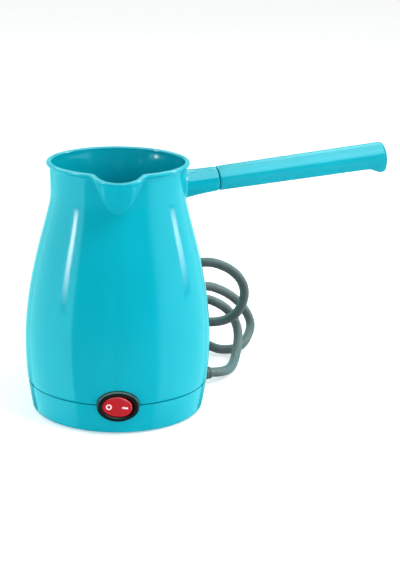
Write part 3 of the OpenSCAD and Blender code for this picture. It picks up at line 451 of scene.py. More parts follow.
def lamp_glass(name, tint):
    """Soda glass of a neon lamp: clear, warm from the gas and the electrodes behind it."""
    material, tree, shader = start_material(
        name, IOR=1.5, Base_Color=linear(tint), Transmission_Weight=0.85)
    dulled(tree, shader, mottle(tree, 2), 0.03, 0.09)
    return material


def striped_pvc(name, green, yellow):
    """Earth lead: green insulation with a yellow stripe, extruded together."""
    material, tree, shader = start_material(name, IOR=1.53, Roughness=0.4)
    place = add_node(tree, "ShaderNodeTexCoord")
    bands = add_node(
        tree, "ShaderNodeTexWave",
        {"Vector": place.outputs["Object"], "Scale": 1000 / (2 * math.pi * 2.2), "Distortion": 0.6},
        wave_type="BANDS", bands_direction="DIAGONAL",
    ).outputs["Fac"]
    tinted(tree, shader, bands, green, yellow)
    raised(tree, shader, mottle(tree, 0.6), 0.01, 0.4)
    return material


# ---- settings ----

class CoffeePotColours(bpy.types.PropertyGroup):
    """Colours that a user would change, each as an sRGB hex value."""

    shell_dark: bpy.props.StringProperty(
        name="Shell, deeper", description="Deeper tone of the turquoise shell", default="#02a0b3")
    shell_light: bpy.props.StringProperty(
        name="Shell, lighter", description="Lighter tone of the turquoise shell", default="#04a6ba")
    lead: bpy.props.StringProperty(
        name="Mains lead", description="Colour of the mains lead and the plug", default="#49504e")
    lead_light: bpy.props.StringProperty(
        name="Mains lead, worn", description="Dusty tone of the lead and plug", default="#515756")
    rocker: bpy.props.StringProperty(
        name="Rocker", description="Colour of the rocker", default="#b50d1e")


class CoffeePotSizes(bpy.types.PropertyGroup):
    """Finish sizes that a user would change; the pot's main sizes stay those of the CAD model."""

    shell_gloss: bpy.props.FloatProperty(
        name="Shell roughness", description="Roughness of the moulded shell",
        default=0.1, min=0.03, max=0.5, subtype="FACTOR")
    arm_fillet: bpy.props.FloatProperty(
        name="Arm fillet", description="Radius where the handle's arm meets the jug",
        default=0.0018, min=0.001, max=0.005, unit="LENGTH")
    seam_ridge: bpy.props.FloatProperty(
        name="Mould line", description="Height of the mould's line down the jug's front",
        default=0.00014, min=0.0, max=0.0003, unit="LENGTH")
    rib_depth: bpy.props.FloatProperty(
        name="Relief rib depth", description="Depth of the grooves in the strain relief",
        default=0.0005, min=0.0, max=0.001, unit="LENGTH")


class CoffeePotStudio(bpy.types.PropertyGroup):
    """Studio values that a user would change."""

    sky: bpy.props.FloatProperty(
        name="Surrounding light", description="Brightness of the even light all round",
        default=0.57, min=0.0, max=3.0)
    key: bpy.props.FloatProperty(
        name="Key light", description="Power of the soft light from the upper right front",
        default=8.0, min=0.0, max=200.0, subtype="POWER")
    side: bpy.props.FloatProperty(
        name="Side lights", description="Power of each of the two soft lights at the sides",
        default=5.0, min=0.0, max=200.0, subtype="POWER")
    gloss_sky: bpy.props.FloatProperty(
        name="Light in gloss", description="Brightness of the surroundings that gloss shows",
        default=0.0, min=0.0, max=3.0)
    panels: bpy.props.FloatProperty(
        name="Panels", description="Brightness of the panels that gloss shows",
        default=1.0, min=0.0, max=20.0)
    panel_tint: bpy.props.StringProperty(
        name="Panel tint", description="Colour of the panels that gloss shows", default="#92f4f2")
    lens: bpy.props.FloatProperty(
        name="Focal length", description="Camera's focal length in millimetres",
        default=99.8, min=20.0, max=300.0)


# ---- shapes of the jug ----

def low_radius(z):
    """Outer radius of the side at and below the belly."""
    return BELLY_RADIUS - BASE_TAPER * ((BELLY_HEIGHT - z) / BELLY_HEIGHT) ** 2


def bezier(a, b, c, d, t):
    """A cubic Bezier curve's value at t."""
    return a * (1 - t) ** 3 + 3 * b * t * (1 - t) ** 2 + 3 * c * t**2 * (1 - t) + d * t**3


def side_radius(z):
    """Outer radius of the jug's side at any height up to the lip."""
    z = np.asarray(z, float)
    rise = NECK_HEIGHT - BELLY_HEIGHT
    t = np.linspace(0, 1, 401)
    heights = bezier(
        BELLY_HEIGHT, BELLY_HEIGHT + 0.47 * rise, NECK_HEIGHT - 0.13 * rise, NECK_HEIGHT, t)
    radii = bezier(BELLY_RADIUS, BELLY_RADIUS, NECK_RADIUS, NECK_RADIUS, t)
    v = np.clip((z - NECK_HEIGHT) / (LIP_HEIGHT - NECK_HEIGHT), 0, None)
    upper = np.interp(z, heights, radii)
    lip = NECK_RADIUS + (LIP_RADIUS - NECK_RADIUS) * v**2
    return np.where(z < BELLY_HEIGHT, low_radius(z), np.where(z > NECK_HEIGHT, lip, upper))


def spout_columns(loose):
    """Columns of the spout's plan from its middle outwards: share across and share of bulge.

    Low down it meets the jug in a tight line; towards the lip, at loose 1, over soft shoulders."""
    columns = []
    for last, first_pull, second_pull, end in [(8, 0.09, 1.035, 1.1), (25, 0.28, 1.04, 1.2)]:
        t = np.radians(np.linspace(90, last, 14))
        across, bulge = list(np.cos(t)), list(np.sin(t))
        start, slope = (across[-1], bulge[-1]), (math.sin(t[-1]), -math.cos(t[-1]))
        for s in np.linspace(0, 1, 8)[1:]:
            across.append(bezier(start[0], start[0] + first_pull * slope[0], second_pull, end, s))
            bulge.append(bezier(start[1], start[1] + first_pull * slope[1], 0.0, 0.0, s))
        columns.append((across, bulge))
    tight, soft = np.array(columns)
    return tight + (soft - tight) * loose


def plan_ring(z, radius, reach=SPOUT_REACH, ridge=0.0):
    """One level of the jug's outside, from the back round the left, the spout and the right.

    Gives points, their outward directions in plan, and each one's share of the spout's drop."""
    u = max(0.0, (z - SPOUT_FOOT) / (LIP_HEIGHT - SPOUT_FOOT))
    across, bulge = spout_columns(np.clip((u - 0.45) / 0.55, 0, 1) ** 2)
    half = math.sqrt(SPOUT_HALF**2 * u + 2 * (1 - min(u, 1)))
    soft = (math.sqrt(u * u + 0.0025) - 0.05) / (math.sqrt(1.0025) - 0.05)
    out = reach * soft**1.15
    x = half * across
    y = -(np.sqrt(radius**2 - x**2) + out * bulge)
    y[0] -= ridge
    y[1] -= ridge * 0.5
    edge = math.asin(x[-1] / radius)
    turn = np.linspace(edge, math.pi, 61)[1:]
    x = np.concatenate([x, radius * np.sin(turn)])
    y = np.concatenate([y, -radius * np.cos(turn)])
    drop = np.concatenate([bulge, np.zeros(60)]) * u
    # the left half mirrors the right one
    points = np.stack([np.concatenate([-x[:0:-1], x[:-1]]), np.concatenate([y[:0:-1], y[:-1]])], 1)
    drop = np.concatenate([drop[:0:-1], drop[:-1]])
    along = np.roll(points, -1, 0) - np.roll(points, 1, 0)
    out_way = np.stack([along[:, 1], -along[:, 0]], 1)
    out_way /= np.linalg.norm(out_way, axis=1)[:, None]
    out_way *= np.sign(np.sum(out_way * points, 1))[:, None]
    return points, out_way, drop


def wall_ring(z, radius, inset=0.0, ridge=0.0):
    """One level of the jug's wall, moved in by inset along its own directions."""
    points, way, drop = plan_ring(z, float(radius), ridge=ridge)
    return flat_ring(points - inset * way, z - SPOUT_DROP * drop)


def jug_rings(ridge):
    """Closed section rings of the jug's wall: outside, lip, inside, fillet and lower chamber."""
    rings = [wall_ring(SEAM_TOP + rise, side_radius(SEAM_TOP + rise) - inset)
             for rise, inset in [(0, 0.35), (0.1, 0.1), (0.35, 0.0)]]
    heights = [*np.linspace(SEAM_TOP + 2, SPOUT_FOOT, 44),
               *np.linspace(SPOUT_FOOT, LIP_FOOT, 24)[1:]]
    for z in heights:
        fade = min(1.0, max(0.0, (SPOUT_FOOT - z) / RIDGE_FADE))
        rings.append(wall_ring(z, side_radius(z), ridge=ridge * fade))
    points, way, drop = plan_ring(LIP_HEIGHT, LIP_RADIUS, SPOUT_REACH - LIP_SETBACK)
    for shift, z in smooth_way(LIP_SECTION, 3):
        rings.append(flat_ring(points + shift * way, z - SPOUT_DROP * drop))
    for z in heights[::-1]:
        if z >= FLOOR_TOP + FLOOR_FILLET + 0.2:
            v = max(0.0, (z - NECK_HEIGHT) / (LIP_HEIGHT - NECK_HEIGHT))
            rings.append(wall_ring(z, side_radius(z), inset=WALL - LIP_THINNING * v**2))
    for angle in np.radians([0, 15, 30, 45, 60, 75, 88]):
        inner = side_radius(FLOOR_TOP + FLOOR_FILLET) - WALL - FLOOR_FILLET * (1 - math.cos(angle))
        rings.append(wall_ring(FLOOR_TOP + FLOOR_FILLET * (1 - math.sin(angle)), inner))
    rings += [wall_ring(z, radius) for radius, z in [
        (low_radius(FLOOR_TOP) - WALL - FLOOR_FILLET - 0.2, FLOOR_TOP - 0.3),
        (low_radius(FLOOR_UNDER) - WALL, FLOOR_TOP - 0.4),
        (low_radius(FLOOR_UNDER) - WALL, FLOOR_UNDER),
        (low_radius(SEAM_HEIGHT) - WALL, SEAM_TOP)]]
    return rings


SWITCH = Matrix.Translation((0, -PIVOT_PLACE, SEAM_HEIGHT)) @ Matrix.Rotation(math.pi / 2, 4, "X")
HANDLE = (Matrix.Translation((0, 0, HANDLE_HEIGHT)) @ Matrix.Rotation(HANDLE_TURN, 4, "Z")
          @ Matrix.Rotation(-HANDLE_TILT, 4, "Y"))
CORD_EXIT = (Matrix.Translation((0, 0, CORD_HEIGHT)) @ Matrix.Rotation(CORD_TURN, 4, "Z")
             @ Matrix.Rotation(math.pi / 2, 4, "Y"))
PLUG = Matrix.Translation(PLUG_PLACE) @ Matrix.Rotation(-math.pi / 2, 4, "Y")


def handle_ring(x, half, up, down):
    """A section of the handle across its axis at x, in the handle's own axes."""
    return upright_ring(x, oval(half, up, down, HANDLE_SIDES))


def bore_ring(x, radius):
    """A round section of the handle's inside at x."""
    return handle_ring(x, radius, radius, radius)


def arm_rings(fillet):
    """The arm from inside the wall, over a fillet that runs onto the jug, to the joint's face."""
    t = np.linspace(0, 2 * math.pi, HANDLE_SIDES, endpoint=False)
    tilt = np.array(HANDLE)[:3, :3]
    shift = np.array([0, 0, HANDLE_HEIGHT])
    # what the arm is wider, higher and deeper than the grip at its stations
    stations = np.array([30, 42, 46, 52, ARM_END])
    extra = np.array([[0.5, 1.2, 2.0], [0.2, 0.6, 1.4], [0, 0.2, 0.9], [-0.2, 0, 0.4], [-0.2, -0.1, 0]])

    def section(x, grow):
        wide, up, down = (np.interp(x, stations, extra[:, i]) for i in range(3))
        rise = np.where(np.sin(t) < 0, GRIP_RISE + down, GRIP_RISE + up)
        return np.column_stack([
            x, (GRIP_HALF + wide + grow) * np.cos(t), (rise + grow) * np.sin(t)])

    def footprint(grow):
        # where each line along the arm comes out of the jug's side, by halving
        low, high = np.full(HANDLE_SIDES, 15.0), np.full(HANDLE_SIDES, ARM_END)
        for _ in range(40):
            middle = (low + high) / 2
            place = section(middle, grow) @ tilt.T + shift
            inside = np.hypot(place[:, 0], place[:, 1]) < side_radius(place[:, 2])
            low, high = np.where(inside, middle, low), np.where(inside, high, middle)
        return (low + high) / 2

    rings = [section(footprint(fillet) - 1.0, fillet)]
    for angle in np.radians(np.linspace(90, 0, 9)):
        grow = fillet * (1 - math.cos(angle))
        rings.append(section(footprint(grow) + fillet * (1 - math.sin(angle)), grow))
    last = rings[-1][:, 0]
    for share in np.linspace(0, 1, 9)[1:]:
        rings.append(section(last + (ARM_END - last) * share, 0))
    for back, inset in [(0.55, 0.28), (0.25, 0.42), (0.05, 0.7), (0, 1.1)]:
        rise = GRIP_RISE - inset + 0.1
        rings.append(handle_ring(ARM_FACE - back, GRIP_HALF - inset, rise, rise))
    return rings + [bore_ring(ARM_FACE, INSERT_BORE), bore_ring(INSERT_END, INSERT_BORE)]


def grip_ring(share, inset, stop):
    """A section of the grip at a share of its length, set in by inset, with a share of the stop."""
    grow = GRIP_GROWTH * share - inset
    x = GRIP_START + (GRIP_END - GRIP_START) * share
    return handle_ring(x, GRIP_HALF + grow, GRIP_RISE + grow, GRIP_RISE + grow + STOP_DROP * stop)


def grip_rings():
    """The grip's outside with its finger stop, and the screw's well and bore inside."""
    stop_at = [0.88, 0.92, 0.945, 0.965, 0.98]
    stop_of = [0, 0.12, 0.5, 0.9, 1]
    rings = [grip_ring(share, inset, 0)
             for share, inset in [(0.0, 0.9), (0.001, 0.45), (0.004, 0.18), (0.009, 0.04)]]
    for share in np.concatenate([np.linspace(0.016, 0.86, 30), np.linspace(0.868, 0.977, 22)]):
        # half the CAD's straight stretches and half a smooth step between their ends
        stop = float(np.interp(share, stop_at, stop_of))
        step = float(np.clip((share - 0.895) / (0.972 - 0.895), 0, 1))
        rings.append(grip_ring(share, 0.0, 0.5 * stop + 0.5 * step**2 * (3 - 2 * step)))
    rings += [grip_ring(share, inset, 1)
              for share, inset in [(0.9805, 0.06), (0.9828, 0.22), (0.9845, 0.6), (CAP_SHARE, 1.1)]]
    well = GRIP_END - WELL_DEPTH
    return rings + [
        bore_ring(rings[-1][0][0], SCREW_WELL), bore_ring(well, SCREW_WELL),
        bore_ring(well, SCREW_BORE), bore_ring(GRIP_START, SCREW_BORE)]


def cap_rings():
    """The end cap: a plug in the well, a rounded rim and a low dome."""
    start = GRIP_START + (GRIP_END - GRIP_START) * CAP_SHARE
    rings = [bore_ring(start - 5, 4.2), bore_ring(start - 4.5, 4.55), bore_ring(start + 0.02, 4.55),
             grip_ring(0.9852, 1.1, 1), grip_ring(0.9856, 0.55, 1), grip_ring(0.987, 0.36, 1)]
    for angle in np.radians(np.linspace(0, 90, 10)):
        inward = 1 - math.cos(angle)
        rings.append(grip_ring(0.989 + 0.0102 * math.sin(angle), 0.3 + 3.4 * inward, 1 - 0.2 * inward))
    last = rings[-1]
    middle = last.mean(0)
    for share, rise in [(0.66, 0.28), (0.33, 0.42), (0.05, 0.46)]:
        rings.append(middle + (last - middle) * share + np.array([rise, 0, 0]))
    return rings


# ---- operators, one for each piece or group of like pieces ----

class COFFEEPOT_OT_camera(bpy.types.Operator):
    """Add the camera that looks down at the pot from the front."""

    bl_idname = "coffeepot.camera"
    bl_label = "Camera"

    def execute(self, context):
        yaw, pitch, roll = (math.radians(turn) for turn in CAMERA_TURN)
        ahead = Vector((-math.sin(yaw), math.cos(yaw), 0))
        level_right = Vector((math.cos(yaw), math.sin(yaw), 0))
        view = math.cos(pitch) * ahead - math.sin(pitch) * Vector((0, 0, 1))
        upright = math.sin(pitch) * ahead + math.cos(pitch) * Vector((0, 0, 1))
        right = math.cos(roll) * level_right + math.sin(roll) * upright
        up = math.cos(roll) * upright - math.sin(roll) * level_right
        camera = bpy.data.objects.new("pot_camera", bpy.data.cameras.new("pot_camera"))
        context.scene.collection.objects.link(camera)
        camera.data.sensor_width = 36.0
        camera.data.lens = context.scene.coffeepot_studio.lens
        camera.matrix_world = Matrix.Translation(Vector(CAMERA_PLACE) * MM) @ Matrix(
            (right, up, -view)).transposed().to_4x4()
        context.scene.camera = camera
        return {"FINISHED"}


class COFFEEPOT_OT_mains_lead(bpy.types.Operator):
    """Lay the mains lead in its strapped loops and end it in its plug."""

    bl_idname = "coffeepot.mains_lead"
    bl_label = "Mains lead"

    def execute(self, context):
        colours = context.scene.coffeepot_colours
        pvc = satin_pvc("satin_pvc_sheath", colours.lead, colours.lead_light)
        line = smooth_way(CORD_WAY, 6)
        circle = oval(CORD_RADIUS, CORD_RADIUS, CORD_RADIUS, 20)
        out = (math.cos(CORD_TURN), math.sin(CORD_TURN), 0)
        lead = mesh_piece("mains_lead", *skin(tube_rings(line, circle, out, (-1, 0, 0))), crease=60)
        dress(lead, pvc, instead_of=("power_cord",))
        dress_cad(pvc, "cord_tail")
        relief = self.relief(context.scene.coffeepot_sizes.rib_depth / MM)
        dress(relief, pvc, instead_of=("strain_relief",))
        plug = self.plug()
        dress(plug, pvc, instead_of=("plug_body",))
        # hook-and-loop tape: a napped weave of about 0.5 mm, drawn at 0.8 mm so that it shows
        strap = self.strap()
        dress(strap, woven("hook_and_loop_tape", "#1f2123", "#34373a", 0.8, 0.9),
              instead_of=("cord_tie",))
        dress_cad(sheet_metal("nickel_plated_brass", "#c4c6c8", "#d6d8da", 0.16, 3.0), "plug_pins")
        return {"FINISHED"}

    def relief(self, rib):
        """The moulded strain relief: collar in its pocket, flange on the wall, ribbed taper."""
        section = [(RELIEF_BORE, 46.4), (5.4, 46.4), (5.6, 46.6), (5.6, 48.6), (5.4, 48.78),
                   (4.2, 48.78), (4.2, 52.9), (4.8, 52.9), (5.0, 53.1), (5.0, 54.1), (4.7, 54.4)]
        for i in range(5):
            start, wide = 55.1 + 2.25 * i, 4.45 - 0.13 * i
            section += [(wide, start), (wide - rib, start + 0.25), (wide - rib, start + 1.0),
                        (wide - 0.04, start + 1.25)]
        section += [(3.9, 66.3), (3.6, RELIEF_END - 0.1), (3.4, RELIEF_END), (RELIEF_BORE, RELIEF_END)]
        return mesh_piece("lead_relief", *placed(skin(turned(section, 64), loop=True), CORD_EXIT))

    def plug(self):
        """The moulded round plug: boot, grip with finger grooves, and the disc with its recesses."""
        section = np.array([
            (3.15, 0), (4.0, 0.1), (4.2, 0.6), (4.5, 3), (5.2, 9), (6.1, 16), (6.9, 19), (8.8, 20.4),
            (10.4, 22.6), (11.6, 26), (12.6, 32), (13.2, 37), (13.9, 40.5), (15.4, 43.2),
            (17.4, 44.6), (18.5, 45.4), (PLUG_RADIUS, 46.4), (PLUG_RADIUS, 55.6), (18.5, 56.5),
            (17.8, 57.0)])
        spaced = np.linspace(0, len(section) - 1, 96)
        radii, heights = (np.interp(spaced, np.arange(len(section)), section[:, i]) for i in (0, 1))
        angles = np.linspace(0, 2 * math.pi, 144, endpoint=False)
        rings = []
        for r, z in zip(radii, heights):
            groove = 0.35 * max(0.0, math.sin(math.pi * np.clip((z - 24) / 15, 0, 1)))
            boot = 0.3 if 3 < z < 16 and int(z / 1.3) % 2 else 0.0
            wave = r - boot - groove * (0.5 + 0.5 * np.cos(24 * angles)) ** 2
            rings.append(flat_ring(np.stack([wave * np.cos(angles), wave * np.sin(angles)], 1), z))
        plug = mesh_piece("moulded_plug", *placed(skin(rings), PLUG), crease=35)
        recess = np.array([(-2.5, -3.5), (2.5, -3.5), (2.5, 3.5), (-2.5, 3.5)])
        cutters = []
        for place in (-PLUG_RADIUS, PLUG_RADIUS):
            rings = [flat_ring(recess + (place, 0), z) for z in (47, 60)]
            cutters.append(mesh_piece("recess", *placed(skin(rings), PLUG)))
        cut(plug, *cutters)
        return plug

    def strap(self):
        """A flat strap pulled round the four strands, its end lapped over itself."""
        turn = np.linspace(0, 2 * math.pi, 120, endpoint=False)
        ways = np.stack([np.cos(turn), np.sin(turn)], 1)
        across = np.stack([-np.sin(turn), np.cos(turn)], 1)
        # the loop over the strands' middles, found from how far it reaches in every direction
        reach = np.max([ways @ np.array(place) for place in STRAP_STRANDS], axis=0)
        slope = np.gradient(np.concatenate([reach[-3:], reach, reach[:3]]))[3:-3] / (turn[1] - turn[0])
        loop = reach[:, None] * ways + slope[:, None] * across
        band = [upright_ring(STRAP_PLACE + side, loop + out * ways) for side, out in [
            (-2, 3.25), (-1.85, 3.15), (1.85, 3.15), (2, 3.25), (2, 3.95), (1.85, 4.05),
            (-1.85, 4.05), (-2, 3.95)]]
        lap = []
        for share in np.linspace(0, 1, 14):
            k = int(20 + 26 * share)
            lift = 4.02 - 0.12 * (share > 0.96)
            lap.append([[STRAP_PLACE + side, *(loop[k] + (lift + rise) * ways[k])]
                        for side, rise in [(-1.8, 0.0), (1.8, 0.0), (1.8, 0.75), (-1.8, 0.75)]])
        return mesh_piece("lead_strap", *joined(skin(band, loop=True), skin(lap)), crease=45)


class COFFEEPOT_OT_jug(bpy.types.Operator):
    """Mould the jug's wall with its spout and lip, and dress the floor ring and posts in it."""

    bl_idname = "coffeepot.jug"
    bl_label = "Jug"

    def execute(self, context):
        sizes, colours = context.scene.coffeepot_sizes, context.scene.coffeepot_colours
        abs_plastic = polished_abs("polished_abs", (colours.shell_dark, colours.shell_light),
                                   sizes.shell_gloss)
        jug = mesh_piece("jug", *skin(jug_rings(sizes.seam_ridge / MM), loop=True))
        cut(jug, self.switch_pocket())
        soften(jug, 40)
        dress(jug, abs_plastic, instead_of=("jug_wall",))
        dress_cad(abs_plastic, "jug_floor", "screw_posts")
        return {"FINISHED"}

    def switch_pocket(self):
        """The stepped oval that the bezel and the housing sit in."""
        rings = [oval_ring(halves, z, count=96)
                 for halves, z in [(POCKET_OVAL, -20.0), (POCKET_OVAL, SEAT_LEVEL),
                                   (FLANGE_OVAL, SEAT_LEVEL), (FLANGE_OVAL, 9.0)]]
        return mesh_piece("pocket", *placed(skin(rings), SWITCH))


class COFFEEPOT_OT_handle(bpy.types.Operator):
    """Build the handle: arm, grip, end cap, and the screw and insert inside."""

    bl_idname = "coffeepot.handle"
    bl_label = "Handle"

    def execute(self, context):
        sizes, colours = context.scene.coffeepot_sizes, context.scene.coffeepot_colours
        arm = mesh_piece("handle_arm", *placed(skin(arm_rings(sizes.arm_fillet / MM)), HANDLE))
        dress(arm, bpy.data.materials["polished_abs"], instead_of=("handle_stub",))
        satin = polished_abs("satin_abs", (colours.shell_dark, colours.shell_light), 0.2)
        grip = mesh_piece("grip", *placed(skin(grip_rings(), loop=True), HANDLE))
        dress(grip, satin, instead_of=("handle_grip",))
        cap = mesh_piece("grip_cap", *placed(skin(cap_rings()), HANDLE))
        dress(cap, satin, instead_of=("handle_cap",))
        dress_cad(sheet_metal("zinc_plated_steel", "#a9adb0", "#bec2c5", 0.3), "handle_screw")
        dress_cad(sheet_metal("turned_brass", "#b8985a", "#cbab6b", 0.28), "handle_insert")
        return {"FINISHED"}


class COFFEEPOT_OT_base(bpy.types.Operator):
    """Dress the base cover, its non-slip ring and its screws."""

    bl_idname = "coffeepot.base"
    bl_label = "Base"

    def execute(self, context):
        dress_cad(bpy.data.materials["polished_abs"], "base_cover", crease=50)
        dress_cad(silicone("grey_silicone", "#44494b", "#52585a"), "foot_ring")
        dress_cad(bpy.data.materials["zinc_plated_steel"], "base_screws")
        return {"FINISHED"}


class COFFEEPOT_OT_switch(bpy.types.Operator):
    """Build the oval rocker switch, and dress what is inside it."""

    bl_idname = "coffeepot.switch"
    bl_label = "Switch"

    def execute(self, context):
        colours = context.scene.coffeepot_colours
        nylon = glossy_nylon("black_nylon", "#0d0e10", "#15171a", 0.16, 4.0)
        housing = mesh_piece("switch_frame", *placed(joined(self.bezel(), self.box()), SWITCH))
        dress(housing, nylon, instead_of=("switch_housing",))
        turn = SWITCH @ Matrix.Rotation(-ROCKER_LEAN, 4, "Y")
        rocker = mesh_piece("rocker", *placed(
            joined(self.rocker_face(), self.rocker_stem(), self.rocker_pins()), turn), crease=50)
        dress(rocker, lit_polycarbonate("red_polycarbonate", colours.rocker, "#bf1426"),
              body="rocker", instead_of=("switch_rocker",))
        dress_cad(printed_ink("white_ink", "#f6dfe2", "#fdf0f1"), "rocker_marks")
        dress_cad(glossy_nylon("natural_nylon", "#d8d2c2", "#e6e1d4", 0.35, 3.0),
                  "switch_plunger", "receptacles")
        dress_cad(sheet_metal("drawn_spring_steel", "#b4b8bc", "#c6cacd", 0.25, 1.0), "switch_spring")
        dress_cad(sheet_metal("rolled_copper", "#c08250", "#d39765", 0.3), "switch_contact")
        dress_cad(sheet_metal("stamped_brass", "#bfa35f", "#d2b874", 0.3, 1.5, (1, 1, 0.2)),
                  "switch_tabs", "element_tabs", "thermostat_tabs", "earth_tab",
                  "plug_earth_clips", "thermal_fuse")
        dress_cad(lamp_glass("neon_lamp_glass", "#f3c9a8"), "neon_lamp")
        return {"FINISHED"}

    def bezel(self):
        """The thick oval ring: rolled outer edge, narrow flat and a rounded inner edge."""
        rings = [oval_ring(BEZEL_OVAL, SEAT_LEVEL), oval_ring(BEZEL_OVAL, 1.2, -0.04)]
        for a in np.radians(np.linspace(0, 90, 10)):
            rings.append(oval_ring(BEZEL_OVAL, 1.5 + 2.0 * math.sin(a), 1.9 * (1 - math.cos(a))))
        for a in np.radians(np.linspace(90, 0, 7)):
            rings.append(oval_ring(HOLLOW_OVAL, 2.75 + 0.72 * math.sin(a), 0.7 * (math.cos(a) - 1)))
        return skin(rings + [oval_ring(HOLLOW_OVAL, SEAT_LEVEL)], loop=True)

    def box(self):
        """The oval housing behind the bezel, open to the front."""
        return skin([
            oval_ring(HOUSING_OVAL, BACK_LEVEL, 0.3), oval_ring(HOUSING_OVAL, BACK_LEVEL + 0.3),
            oval_ring(HOUSING_OVAL, 0.4), oval_ring(HOLLOW_OVAL, 0.4),
            oval_ring(HOLLOW_OVAL, BACK_LEVEL + 1.5)])

    def rocker_face(self):
        """The rocker: two slopes that meet in a shallow valley, a rolled rim and a hollow skirt."""
        rim, slope = 0.75, math.tan(ROCKER_LEAN)
        wide, high = ROCKER_OVAL
        outline = oval(wide, high, high, 120)
        edge = outline * (1 - rim / np.linalg.norm(outline, axis=1))[:, None]

        def surface(points):
            return 3.15 + np.sqrt(points[:, 0] ** 2 + 0.36) * slope

        rings = [flat_ring(edge * share, surface(edge * share))
                 for share in (0.02, 0.12, 0.25, 0.4, 0.55, 0.7, 0.82, 0.92, 1.0)]
        for a in np.radians(np.linspace(12, 90, 8)):
            points = edge + (outline - edge) * math.sin(a)
            rings.append(flat_ring(points, surface(edge) - rim * (1 - math.cos(a))))
        rings += [flat_ring(outline * scale, z) for scale, z in [
            (1.0, -2.4), (0.98, -2.6), (0.86, -2.6), (0.84, 1.6), (0.4, 1.6), (0.02, 1.6)]]
        return skin(rings)

    def rocker_stem(self):
        """The stem that holds the spring and the plunger."""
        section = [(2.4, 1.9), (2.4, -5.1), (2.3, -5.2), (1.85, -5.2), (1.75, -5.1), (1.75, 1.2),
                   (0.05, 1.2), (0.05, 1.9)]
        return skin(turned(section, 48), loop=True)

    def rocker_pins(self):
        """The pivot pin that turns in the housing's walls."""
        across = Matrix.Rotation(math.pi / 2, 4, "X")
        return placed(skin(turned([(1.35, -7.35), (1.5, -7.2), (1.5, 7.2), (1.35, 7.35)], 40)), across)


class COFFEEPOT_OT_heater(bpy.types.Operator):
    """Dress the heating plate and the heater parts below it."""

    bl_idname = "coffeepot.heater"
    bl_label = "Heater"

    def execute(self, context):
        zinc = bpy.data.materials["zinc_plated_steel"]
        dress_cad(turned_stainless("turned_stainless", "#b9bdbf", "#cdd0d2"), "heating_plate")
        dress_cad(silicone("white_silicone", "#dedbd2", "#ebe8e0"), "plate_gasket")
        dress_cad(zinc, "clamp_ring", "clamp_screws", "thermostat_flange", "thermostat_screws",
                  "fuse_clip", "cord_clamp_screws")
        dress_cad(sheet_metal("mill_finish_aluminium", "#c9cccd", "#d9dbdc", 0.34, 2.5, (0.2, 1, 1)),
                  "diffuser_plate", "thermostat_cup")
        # the sheath goes straw and grey where it has been hot
        dress_cad(sheet_metal("annealed_sheath_steel", "#7f8183", "#9a9388", 0.4, 6.0),
                  "heating_element")
        dress_cad(fired_ceramic("steatite", "#e9e5d9", "#f5f2e9"), "element_ceramics")
        dress_cad(glossy_nylon("brown_phenolic", "#241f1b", "#302a26", 0.35, 2.0), "thermostat_body")
        # braid of glass yarn: threads about 0.4 mm wide, drawn at 0.6 mm so that they show
        dress_cad(woven("braided_glass_sleeve", "#dcd4c0", "#f4efe2", 0.6, 0.8), "fuse_sleeve")
        return {"FINISHED"}


class COFFEEPOT_OT_wiring(bpy.types.Operator):
    """Dress the leads inside the base and the clamp that holds the mains lead."""

    bl_idname = "coffeepot.wiring"
    bl_label = "Wiring"

    def execute(self, context):
        dress_cad(satin_pvc("brown_wire_pvc", "#6b4226", "#7d4f30"),
                  "lead_live", "lead_switched", "lead_fuse", "lead_element", crease=60)
        dress_cad(satin_pvc("blue_wire_pvc", "#2257a0", "#2f68b4"),
                  "lead_neutral", "lead_lamp", crease=60)
        dress_cad(striped_pvc("green_yellow_wire_pvc", "#3f8a35", "#d8cf2c"),
                  "lead_earth", crease=60)
        dress_cad(glossy_nylon("glass_filled_nylon", "#33363a", "#404448", 0.45, 1.5), "cord_clamp")
        return {"FINISHED"}


